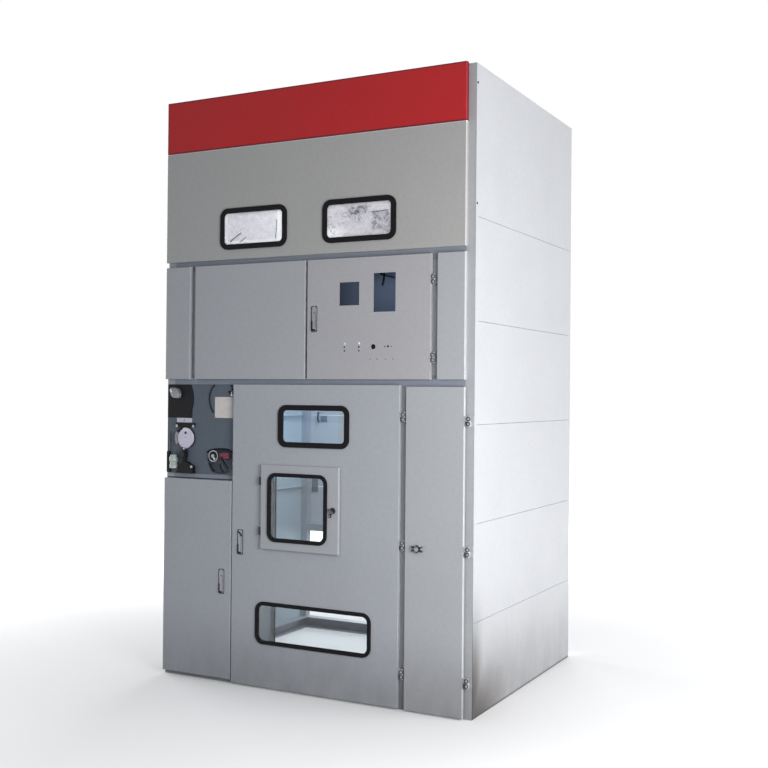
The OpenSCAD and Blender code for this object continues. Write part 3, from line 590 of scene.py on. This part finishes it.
FINISH = {"cabinet_grey": CABINET, "frame_grey": FRAME, "header_red": RED, "rubber": RUBBER,
          "glass": GLASS, "zinc": ZINC, "dark_metal": DARK, "slate": SLATE,
          "dial_white": DIAL, "lever_red": LEVERS, "label": LABEL}
OWN_FINISH = {"left_side_sheets": SIDES, "right_side_sheets": SIDES, "upper_window_panes": FILM,
              "shaft_knobs": KNOBS, "instrument_box": INSIDE, "upper_panel": UPPER, "corner_posts": POSTS,
              "instrument_door_panel": INSTRUMENT, "right_door_knob": BLACKENED, "hatch_latch": DULL,
              "hatch_hinges": BLACKENED, "hatch_hinge_leaves": BLACKENED, "rear_sheets": REAR,
              "left_door_panel": DOOR_BLUE, "main_door_panel": DOOR_BLUE}
for owner in ("fixed", "main_door", "right_door", "instrument_door"):
    OWN_FINISH[owner + "_hinges"] = POSTS
for node in ("front_mullions", "base_frame"):
    OWN_FINISH[node] = POSTS
for owner in ("main_door", "left_door", "instrument_door"):
    OWN_FINISH[owner + "_lock"] = SATIN
    OWN_FINISH[owner + "_lever"] = SATIN

for part in frame["record"]["subparts"]:
    node = NODES[part["node"]]
    node.data.materials.clear()
    node.data.materials.append(OWN_FINISH.get(part["node"]) or FINISH[part["material_slot"]])


# ---- small fittings ----

def pan_head(shape, at, axis, size=4.2):
    """A pan-head screw."""
    shape.turned(at, axis, [(size, 0), (size, size * 0.22), (size * 0.86, size * 0.45),
                            (size * 0.5, size * 0.6), (0, size * 0.64)], 16)


def cross_slot_shade(shape, at, axis, size=4.2):
    """Painted shade of a pan-head screw's cross recess: a dark cross, a hair proud of its crown."""
    u, v, w = (Vector(direction) for direction in AXES[axis])
    crown = Vector(at) + w * size * 0.56
    for a, b in ((u, v), (v, u)):
        corner = a * size * 0.52 + b * size * 0.11
        low = crown - corner
        high = crown + corner + w * size * 0.11
        shape.block([min(p) for p in zip(low, high)], [max(p) for p in zip(low, high)], size * 0.03)


def screws(name, body, places, slot="dark_metal", material=DARK, size=4.2):
    """Pan-head screws at each (place, axis), with the painted shade of a cross on each."""
    heads, slot_shades = Shape(), Shape()
    for at, axis in places:
        pan_head(heads, at, axis, size)
        cross_slot_shade(slot_shades, at, axis, size)
    heads.done(name, body, slot, material)
    slot_shades.done(name + "_slot_shades", body, "rubber", RUBBER)


def hex_bolt(shape, at, axis, size=6.0):
    """A hexagon head on its washer."""
    shape.turned(at, axis, [(size * 1.35, 0), (size * 1.35, size * 0.2), (size * 1.25, size * 0.26)], 24)
    shape.turned(Vector(at) + Vector(AXES[axis][2]) * size * 0.26, axis,
                 [(size, 0), (size, size * 0.5), (size * 0.84, size * 0.64), (0, size * 0.66)], 6)


LEFT, RIGHT = LOW[0] / MM, HIGH[0] / MM

side_bands = solids("right_side_sheets")
top_band = side_bands[-1]
front_edge = top_band[0].y + 10
side_levels = [top_band[0].z + 53, top_band[1].z - 82]
# Painted shade: the side screws' zinc heads are given the dark finish.
screws("side_sheet_shaded_screws", "root",
       [((RIGHT, front_edge, z), "x") for z in side_levels]
       + [((LEFT, front_edge, z), "-x") for z in side_levels], size=5)

rear_places = []
for low, high in solids("rear_sheets"):
    for x in (low.x + 19, (low.x + high.x) / 2, high.x - 19):
        for z in (low.z + 22, high.z - 22):
            rear_places.append(((x, high.y, z), "y"))
screws("rear_sheet_screws", "root", rear_places, "zinc", ZINC, 5)

low, high = box("roof_sheet")
roof_places = [((x, y, high.z), "z") for x in (low.x + 22, -260, 260, high.x - 22)
               for y in (low.y + 22, high.y - 22)]
screws("roof_screws", "root", roof_places, "zinc", ZINC, 5)

# Foam seals on the inner faces of the doors, well clear of locks and hinge arms.
SEAL_WIDE, SEAL_DEEP = 9, 13
SEAL_INSET = 20


def door_seal(body, inset_left=SEAL_INSET, inset_right=SEAL_INSET):
    """A foam frame on the back of a door, inset from its edges."""
    low, high = box(body + "_panel")
    inner = high.y - SEAL_DEEP - 1
    west, east = low.x + inset_left, high.x - inset_right
    foot, head = low.z + SEAL_INSET, high.z - SEAL_INSET
    seal = Shape()
    for x in (west, east - SEAL_WIDE):
        seal.block((x, inner, foot), (x + SEAL_WIDE, inner + SEAL_DEEP, head), 2)
    for z in (foot, head - SEAL_WIDE):
        seal.block((west + SEAL_WIDE, inner, z), (east - SEAL_WIDE, inner + SEAL_DEEP, z + SEAL_WIDE), 2)
    seal.done(body + "_seal", body, "rubber", FOAM)


door_seal("main_door", inset_left=12)
door_seal("right_door")
door_seal("left_door", inset_left=24, inset_right=12)
door_seal("instrument_door", inset_left=12)
door_seal("relay_door", inset_left=24, inset_right=12)


# The two halves of an outside hinge each carry a light dome in a dark ring of painted shade, on the pin's
# line.
HINGE_HALF = 21
PIN_INSET = 6.5


def hinge_bosses(prefix, body, places):
    """A dark ring of painted shade and a dome at each place."""
    rings, domes = Shape(), Shape()
    for at in places:
        rings.turned(at, "-y", [(9, -2), (9, 0.6), (8.4, 1.1), (6.2, 0.5), (0, 0.4)], 28)
        domes.turned(at, "-y", [(6.1, 0), (6.1, 0.9), (5, 1.9), (2.8, 2.6), (0, 2.8)], 24)
    rings.done(prefix + "_shade_rings", body, "dark_metal", DARK)
    domes.done(prefix + "_caps", body, "zinc", SATIN)


hinge_bosses("fixed_hinge", "root",
             [(low.x + PIN_INSET, low.y, low.z + HINGE_HALF / 2) for low, high in solids("fixed_hinges")])
for owner in ("main_door", "right_door", "instrument_door"):
    places = [(high.x - PIN_INSET, low.y, (low.z + high.z) / 2) for low, high in solids(owner + "_hinges")]
    hinge_bosses(owner + "_hinge", owner, places)


# Plane locks: a dark rubber ring round the dish, wider on the left, as painted shade of the gap, a key hole
# above the lever and a dark catch hook below it.
LOCK_FACE = -660
DOOR_FACE = -655


def lock_details(body):
    """The small parts of a door's plane lock, placed from the lock's own box."""
    low, high = box(body + "_lock")
    middle = (low.x + high.x) / 2
    key = Shape()
    key.turned((middle, LOCK_FACE + 2, high.z - 14), "-y", [(5.4, 0), (5.4, 2.8), (4.4, 3.6), (0, 3.6)], 24)
    if body == "main_door":
        key.rod([(middle - 9, LOCK_FACE - 1, high.z - 8), (middle, LOCK_FACE - 2, high.z - 15),
                 (middle + 9, LOCK_FACE - 1, high.z - 27)], 3.6, 10)
    key.done(body + "_key_hole", body, "rubber", RUBBER)
    hook = Shape()
    hook.rod([(middle - 10, LOCK_FACE, low.z + 46), (middle - 10, LOCK_FACE - 1, low.z + 18),
              (middle - 5, LOCK_FACE - 1, low.z + 6), (middle + 6, LOCK_FACE, low.z + 5)], 3.0, 10)
    hook.done(body + "_catch_hook", body, "dark_metal", DARK)
    # Painted shade of the gap round the dish: a dark rubber ring, wider on the left.
    gap_shade = Shape()
    ring = rounded(high.x - low.x + 8, high.z - low.z + 4, 8)
    gap_shade.slab((middle - 2.6, DOOR_FACE, (low.z + high.z) / 2), "-y", ring, 1.3, 0.5)
    gap_shade.done(body + "_lock_gap_shade", body, "rubber", RUBBER)


for owner in ("main_door", "left_door", "instrument_door"):
    lock_details(owner)

# Star knob: a pale cap over its hub.
low, high = box("right_door_knob")
hub = ((low.x + high.x) / 2, low.y, (low.z + high.z) / 2)
Shape().turned(hub, "-y", [(10, -1), (10, 0.6), (8.6, 1.6), (5, 2.2), (0, 2.4)], 32).done(
    "star_knob_cap", "right_knob", "zinc", SATIN)

# Hatch latch: a dark collar, and the keeper's dark foot with its bright stud below it.
HATCH_FACE = -673
low, high = box("hatch_latch")
latch_x, latch_z = (low.x + high.x) / 2, (low.z + high.z) / 2
Shape().turned((latch_x, HATCH_FACE, latch_z), "-y", [(14, 0), (14, 1.6), (12.6, 2.4), (0, 2.6)], 32).done(
    "hatch_latch_collar", "inspection_hatch", "dark_metal", DARK)
foot = Shape()
foot.slab((latch_x - 11, HATCH_FACE, latch_z - 22), "-y", rounded(11, 17, 4.5), 5, 1)
foot.done("hatch_keeper", "inspection_hatch", "dark_metal", DARK)
stud = Shape()
pan_head(stud, (latch_x - 11, HATCH_FACE - 5, latch_z - 22), "-y", 3)
stud.done("hatch_keeper_stud", "inspection_hatch", "zinc", BRIGHT)

# Hard creases in the film on the upper panes.
PANE_INSET = 9


def pane_point(pane, across, down):
    """A point on a pane's face, as shares of its visible width and height from the upper left."""
    low, high = pane
    wide, tall = high.x - low.x - 2 * PANE_INSET, high.z - low.z - 2 * PANE_INSET
    return Vector((low.x + PANE_INSET + across * wide, low.y - 0.6, high.z - PANE_INSET - down * tall))


left_pane, right_pane = sorted(solids("upper_window_panes"), key=lambda pair: pair[0].x)
creases = Shape()
for pane, radius, line in ((left_pane, 2.2, [(0.09, 0.94), (0.2, 0.78), (0.29, 0.66)]),
                           (left_pane, 1.8, [(0.27, 0.96), (0.33, 0.88), (0.38, 0.8)]),
                           (left_pane, 1.6, [(0.915, 0.3), (0.91, 0.6), (0.895, 0.93)]),
                           (right_pane, 1.6, [(0.7, 0.3), (0.83, 0.29), (0.97, 0.27)])):
    creases.rod([pane_point(pane, *point) for point in line], radius, 8)
creases.done("film_creases", "root", "label", FILM_CREASE)

# Instrument door: white plugs in the upper stud holes, dark caps as painted shade in the other stud holes and
# the lamp holes, rivets below the lamp holes.
STUD_COLUMNS = (194, 266)
low, high = box("instrument_door_panel")
plugs = Shape()
for x in STUD_COLUMNS:
    plugs.turned((low.x + x, low.y, low.z + 157), "-y",
                 [(2.4, -4), (2.4, 0), (5.6, 0.1), (5.6, 1.4), (4.2, 2.6), (0, 3)], 20)
plugs.done("blanking_plugs", "instrument_door", "dial_white", PLUG)
hole_shades = Shape()
for x in STUD_COLUMNS:
    for z in (125, 142):
        hole_shades.turned((low.x + x, low.y, low.z + z), "-y",
                     [(2.2, -4), (2.2, 0), (3.4, 0.1), (3.4, 1.0), (2.6, 1.7), (0, 1.8)], 16)
for x, radius in ((337, 11.2), (394, 3), (409, 5), (425, 3)):
    hole_shades.turned((low.x + x, low.y + 1, low.z + 142), "-y",
                 [(radius - 0.2, -4), (radius - 0.2, -0.4), (radius * 0.6, 0.1), (0, 0.3)], 20)
hole_shades.done("stud_and_lamp_hole_shades", "instrument_door", "rubber", RUBBER)
rivets = Shape()
for x in (322, 357, 397, 432):
    rivets.turned((low.x + x, low.y, low.z + 88), "-y", [(2.2, -0.5), (2.2, 0.3), (1.5, 0.8), (0, 0.9)], 12)
rivets.done("rail_rivets", "instrument_door", "dark_metal", DARK)

# Behind the right cut-out, a black clip on an arm from the box's back wall.
clip_x, clip_y, clip_z = low.x + 345, -575, high.z - 66
back = box("instrument_box")[1].y - 4
clip = Shape()
clip.rod([(clip_x - 20, clip_y, clip_z - 2), (clip_x, clip_y, clip_z), (clip_x - 2, clip_y, clip_z - 30),
          (clip_x - 8, clip_y, clip_z - 54)], 4.5)
clip.rod([(clip_x - 20, clip_y, clip_z - 2), (clip_x - 26, clip_y + 60, clip_z - 2),
          (clip_x - 26, back, clip_z - 2)], 3)
clip.done("wiring_clip", "root", "dark_metal", DARK)


# Inside, a small plate and its dark hook high on the rear sheets, and a second plate lower down.
REAR_PLATES = [(-672, 1200, 44, 36), (-729, 813, 42, 74)]
inner = box("rear_sheets")[0].y
plates = Shape()
for x, z, wide, tall in REAR_PLATES:
    plates.block((x - wide / 2, inner - 3, z - tall / 2), (x + wide / 2, inner, z + tall / 2), 1)
plates.done("rear_plates", "root", "slate", SLATE)
hook = Shape()
x, z = REAR_PLATES[0][:2]
hook.rod([(x - 34, inner - 8, z + 40), (x - 36, inner - 9, z), (x - 26, inner - 9, z - 18)], 6)
hook.done("rear_hook", "root", "dark_metal", DARK)


# ---- mechanism bay ----

plate_low, plate_high = box("mechanism_plate")
FACE = plate_low.y
BAY_FOOT = plate_low.z


def bay(x, y, z):
    """A place in the bay, from the cubicle's left edge and the bay's foot."""
    return Vector((LEFT + x, y, BAY_FOOT + z))


# Dial: printed pointer, a dark ring and shoulder as painted shade, a grey segment at its left as painted
# light, and lower nub.
dial_low, dial_high = box("position_dial")
RING = (dial_low.x + 49, dial_low.z + 49)
DIAL_AT = Vector((dial_high.x - 45, dial_low.y, RING[1]))
Shape().slab(DIAL_AT + Vector((0, 0, 27)), "-y", [(-8, -6), (8, -6), (3, 4), (-3, 4)], 1.2, 0.3).done(
    "dial_pointer", "root", "dark_metal", DARK)
Shape().turned((RING[0], FACE, RING[1]), "-y",
               [(51, 0), (51, 7), (49.5, 8.5), (46, 8.6)], 48).done("dial_shaded_bezel", "root", "dark_metal", DARK)


def ring_piece(name, radius, start, end, depth, slot, material):
    """A crescent between an outer arc and the dial's own edge."""
    outline = arc(RING, radius, start, end) + arc(RING, 44, end, start)
    outline = [(x - RING[0], y - RING[1]) for x, y in outline]
    plate = Shape()
    plate.crowned((RING[0], FACE, RING[1]), "-y", outline, [(1, 0), (1, depth - 1), (0.99, depth)])
    plate.done(name, "root", slot, material)


# Painted light and shade on the dial's ring: grey at its lit left, dark at the shoulder above.
ring_piece("dial_lit_side", 61, 150, 212, 14, "zinc", KNOB_GREY)
ring_piece("dial_shaded_shoulder", 58, 112, 148, 10, "dark_metal", DARK)
nub = Shape()
nub.turned(DIAL_AT + Vector((-7, 3, -51)), "-y", [(6, 0), (6, 6), (4.4, 8.6), (0, 9.4)], 20)
nub.done("dial_nub", "root", "zinc", ZINC)
screw = Shape()
screw.turned(DIAL_AT, "-y", [(5, -0.5), (5, 0.8), (4, 1.6), (0, 1.8)], 20)
screw.done("dial_screw", "root", "zinc", ZINC)

# Shutter plate: its black cover with a bowed right edge, its oval knob, and a white streak of painted
# highlight on the knob's upper left.
shut_low, shut_high = box("shutter_plate")
bow = arc((9, 354), 147, 28, -37, 14)
outline = [(x, min(z, shut_high.z - BAY_FOOT - 1)) for x, z in bow]
outline += [(4, shut_low.z - BAY_FOOT + 1), (4, 420)]
cover = Shape()
cover.slab(bay(0, shut_low.y + 0.2, 0), "-y", outline, 1.6, 0.4)
cover.done("shutter_cover", "root", "dark_metal", DARK)
tilt = math.radians(-41)
oval = [(32 * math.cos(a) * math.cos(tilt) - 20 * math.sin(a) * math.sin(tilt),
         32 * math.cos(a) * math.sin(tilt) + 20 * math.sin(a) * math.cos(tilt))
        for a in (2 * math.pi * i / 36 for i in range(36))]
knob = Shape()
knob.crowned(bay(61, -634, 382), "-y", oval,
             [(0.9, 0), (0.9, 6), (1, 9), (1, 20), (0.94, 25), (0.8, 28), (0.55, 30), (0.05, 31)])
knob.done("shutter_knob_shell", "root", "zinc", KNOB_GREY)
# Painted highlight: a white streak on the knob's upper left.
highlight_streak = Shape()
highlight_streak.rod([bay(51, -664, 385), bay(45, -665, 391), bay(38, -662, 398)], 4)
highlight_streak.done("shutter_knob_highlight_streak", "root", "dial_white", PLUG)

# Bracket bolts, shaft and foot bolt.
bolts = Shape()
for x, z in ((63, 226), (161, 226)):
    hex_bolt(bolts, bay(x, -640, z), "-y", 5)
hex_bolt(bolts, bay(163, -654, 34), "-y", 5)
bolts.done("bracket_bolts", "root", "zinc", ZINC)
shaft = Shape()
shaft.turned(bay(111, -642, 56), "z",
             [(12, 0), (12, 17), (16, 19), (16, 29), (12, 31), (12, 46), (16, 48), (16, 56), (11, 59)], 28)
shaft.done("mechanism_shaft", "root", "dark_metal", DARK)

# Roller and guide at the left edge.
roller = Shape()
roller.turned(bay(52.5, -648, 22), "z",
              [(12, 0), (19, 1.5), (20, 14), (17, 18), (17, 32), (20.5, 35), (20.5, 52), (17, 56), (17, 62),
               (12, 66)], 32)
roller.done("latch_roller", "root", "zinc", ROLLER_GREEN)
corner = Shape()
corner.block(bay(4, -641, 2), bay(26, FACE, 102), 1.5)
corner.done("guide_corner", "root", "dark_metal", DARK)
link = Shape()
link.rod([bay(18, -636, 196), bay(21, -637, 150), bay(22, -637, 104)], 2.6)
link.done("guide_rod", "root", "zinc", DULL)

# Guard with a bowed left edge, behind the large label, with a dark rubber edging as painted shade along that
# edge.
labels = solids("label_plates")
tag_low, tag_high = labels[0]
note_low, note_high = labels[-1]
bow = [(281, 422), (262, 402), (252, 377), (250, 354), (255, 327), (264, 305), (275, 290)]
guard = Shape()
right = plate_high.x - LEFT - 9
outline = bow + [(281, 268), (right, 268), (right, 422)]
guard.slab(bay(0, FACE, 0), "-y", outline, 1.2, 0.3)
guard.done("relay_guard", "root", "slate", SLATE)
# Painted shade along the guard's bowed edge.
edging = Shape()
edging.rod([bay(x, FACE - 1.5, z) for x, z in bow], 4)
edging.done("guard_edge_shade", "root", "rubber", SHADE_SLATE)
# Painted shadow: a dark rubber strip down the plate's right edge, beside the main door.
strip = Shape()
strip.block((plate_high.x - 6.5, FACE - 3, plate_low.z + 2), (plate_high.x - 1, FACE, plate_high.z - 2), 1)
strip.done("bay_edge_shadow_strip", "root", "rubber", RUBBER)
# Painted shadow: a dark strip under the rail along the left door's top edge.
door_head = box("left_door_panel")[1].z
strip = Shape()
strip.block((LEFT + 6, -634, door_head + 1.5), (plate_high.x - 2, -630, door_head + 5), 1)
strip.done("left_door_head_shadow_strip", "root", "rubber", SHADE_SLATE)

# Rivets of the blank label and of the tag strip under the bracket.
rivets = Shape()
for x in (note_low.x + 5, note_high.x - 5):
    for z in (note_low.z + 5, note_high.z - 5):
        rivets.turned((x, note_low.y, z), "-y", [(1.8, -0.5), (1.8, 0.3), (1.2, 0.8), (0, 0.9)], 12)
rivets.turned(((tag_low.x + tag_high.x) / 2, tag_low.y, (tag_low.z + tag_high.z) / 2), "-y",
              [(3, -0.5), (3, 0.4), (2, 0.9), (0, 1.0)], 14)
rivets.done("label_rivets", "root", "dark_metal", DARK)

# Upper right corner: three dark bolts and a bright catch.
bolts = Shape()
for x, z, size in ((365, 388, 5.5), (381, 401, 5), (376, 416, 4)):
    hex_bolt(bolts, bay(x, FACE - 1, z), "-y", size)
bolts.done("corner_bolts", "root", "dark_metal", DARK)
catch = Shape()
catch.turned(bay(385, -638, 375), "-y", [(4.5, -5), (4.5, 3), (5.5, 5), (4, 8), (0, 9)], 24)
catch.rod([bay(385, -640, 376), bay(379, -641, 388)], 2.6)
pan_head(catch, bay(388, FACE, 54), "-y", 6)
catch.done("corner_catch", "root", "zinc", BRIGHT)

# Lever well: the rim's dark upper lip, linkage bars, and the hub's dark face.
rim = Shape()
lip = ((238, 102), (252, 112), (275, 118), (310, 121), (345, 121), (370, 115), (386, 104))
rim.rod([bay(x, FACE - 1, z) for x, z in lip], 4)
rim.done("well_rim", "root", "rubber", RUBBER)
bars = Shape()
for line in ([(244, 54), (254, 30), (271, 12)], [(303, 52), (309, 28), (323, 12)]):
    bars.rod([bay(x, -618, z) for x, z in line], 3.4)
bars.done("linkage_bars", "root", "dark_metal", DARK)
face = Shape()
face.turned(bay(283, -646, 88), "-y", [(22, -1), (22, 0.6), (20, 1.2), (0, 1.3)], 36)
face.done("lever_hub_face", "root", "dark_metal", DARK)
pivot = Shape()
pan_head(pivot, bay(291, -647.2, 77), "-y", 6)
pivot.rod([bay(262, -648, 78), bay(268, -649, 71), bay(277, -648, 66)], 2.4)
pivot.done("lever_pivot", "root", "zinc", BRIGHT)

# Partition: rubber edging down its free rear fold.
part_low, part_high = box("compartment_partition")
edge = Shape()
edge.block((part_high.x - 3, part_high.y - 4, part_low.z + 6),
           (part_high.x + 2, part_high.y + 3, part_high.z - 4), 1)
edge.done("partition_edging", "root", "rubber", RUBBER)


# ---- studio ----

FLOOR_BOUNCE = 0.15
GLOW_NEAR, GLOW_FAR = 0.14, 0.78
GLOW_SPAN = (0.9, 5.5)


def floor_material():
    """Pale floor: greyer under the cubicle, white further out, shadow kept, and quieter as a bounce."""
    g = Graph("floor_white")
    path = g.add("ShaderNodeLightPath").outputs
    seen = g.math("MAXIMUM", g.math("MAXIMUM", path["Is Camera Ray"], path["Is Glossy Ray"]),
                  path["Is Transmission Ray"])
    matt = g.add("ShaderNodeBsdfDiffuse", {"Color": (0.72, 0.72, 0.73, 1)}).outputs[0]
    bounce = (FLOOR_BOUNCE, FLOOR_BOUNCE, FLOOR_BOUNCE, 1)
    dim = g.add("ShaderNodeBsdfDiffuse", {"Color": bounce}).outputs[0]
    away = g.add("ShaderNodeVectorMath", {0: g.coords()}, operation="LENGTH").outputs["Value"]
    glow = g.add("ShaderNodeEmission", {"Color": (1, 1, 1, 1),
                                        "Strength": g.span(away, *GLOW_SPAN, GLOW_NEAR, GLOW_FAR)}).outputs[0]
    shown = g.add("ShaderNodeAddShader", {0: matt, 1: glow}).outputs[0]
    return g.finish(g.add("ShaderNodeMixShader", {0: seen, 1: dim, 2: shown}).outputs[0])


REACH = 40
ground = bpy.data.meshes.new("floor")
ground.from_pydata([(-REACH, -REACH, 0), (REACH, -REACH, 0), (REACH, REACH, 0), (-REACH, REACH, 0)], [],
                   [(0, 1, 2, 3)])
ground.materials.append(floor_material())
floor = bpy.data.objects.new("floor", ground)
bpy.context.collection.objects.link(floor)


def area_light(name, place, target, size, power, colour=(1, 1, 1), inside=False, glossy=True):
    """A soft lamp aimed at its target, unseen by the camera, and in glass and gloss if it is inside."""
    data = bpy.data.lights.new(name, "AREA")
    data.shape = "RECTANGLE"
    data.size, data.size_y = size
    data.energy = power
    data.color = colour
    lamp = bpy.data.objects.new(name, data)
    lamp.location = place
    lamp.rotation_euler = (Vector(target) - Vector(place)).to_track_quat("-Z", "Y").to_euler()
    lamp.visible_camera = False
    lamp.visible_transmission = not inside
    lamp.visible_glossy = glossy and not inside
    bpy.context.collection.objects.link(lamp)


# Two keys and a weak blue fill at the front, two fills behind, and three weak lamps inside the cubicle.
area_light("side_key", (6.0, 0.7, 1.5), (0.8, 0.1, 1.2), (3.6, 2.6), 265)
area_light("front_key", (2.6, -2.3, 1.2), (0.5, -0.65, 1.25), (1.4, 1.4), 62, glossy=False)
area_light("low_fill", (-3.5, -5.5, 1.0), (-0.4, -0.65, 0.6), (1.5, 1.0), 13, (0.15, 0.5, 1.0), glossy=False)
area_light("rear_fill", (-1.5, 6.5, 3.0), (0, 0.6, 1.4), (4, 3), 260)
area_light("left_fill", (-6.5, 1.2, 2.6), (-0.8, 0, 1.3), (4, 3), 240)
area_light("upper_inside", (0, 0, 2.6), (0, -0.2, 2.0), (0.6, 0.6), 20, inside=True)
area_light("lower_inside", (0.1, 0, 1.34), (-0.3, 0.5, 0.7), (0.6, 0.5), 4, (0.86, 0.94, 1.0), inside=True)
area_light("box_inside", (0.4, -0.42, 1.9), (0.4, -0.34, 1.6), (0.7, 0.12), 0.42, (0.75, 0.85, 1.0),
           inside=True)

world = bpy.data.worlds.new("studio")
world.use_nodes = True
bpy.context.scene.world = world
sky = world.node_tree
sky.nodes.clear()
path = sky.nodes.new("ShaderNodeLightPath").outputs
far = sky.nodes.new("ShaderNodeBackground")
near = sky.nodes.new("ShaderNodeBackground")
far.inputs[0].default_value = (0.985, 0.99, 1, 1)
far.inputs[1].default_value = 0.42
near.inputs[0].default_value = (1, 1, 1, 1)
near.inputs[1].default_value = 1.0
pick = sky.nodes.new("ShaderNodeMixShader")
seen = sky.nodes.new("ShaderNodeMath")
seen.operation = "MAXIMUM"
sky.links.new(path["Is Camera Ray"], seen.inputs[0])
sky.links.new(path["Is Transmission Ray"], seen.inputs[1])
sky.links.new(seen.outputs[0], pick.inputs[0])
sky.links.new(far.outputs[0], pick.inputs[1])
sky.links.new(near.outputs[0], pick.inputs[2])
sky.links.new(pick.outputs[0], sky.nodes.new("ShaderNodeOutputWorld").inputs[0])

# ---- camera ----

camera_data = bpy.data.cameras.new("camera")
camera_data.lens = 51.22
camera_data.sensor_width = 36
camera = bpy.data.objects.new("camera", camera_data)
camera.rotation_mode = "QUATERNION"
turn = (Matrix.Rotation(math.radians(27.64), 3, "Z") @ Matrix.Rotation(math.radians(90.53), 3, "X")
        @ Matrix.Rotation(math.radians(0.49), 3, "Z"))
camera.rotation_quaternion = turn.to_quaternion()
camera.location = (2.568, -4.817, 1.347)
bpy.context.collection.objects.link(camera)
bpy.context.scene.camera = camera

bpy.context.scene.view_settings.view_transform = "Standard"
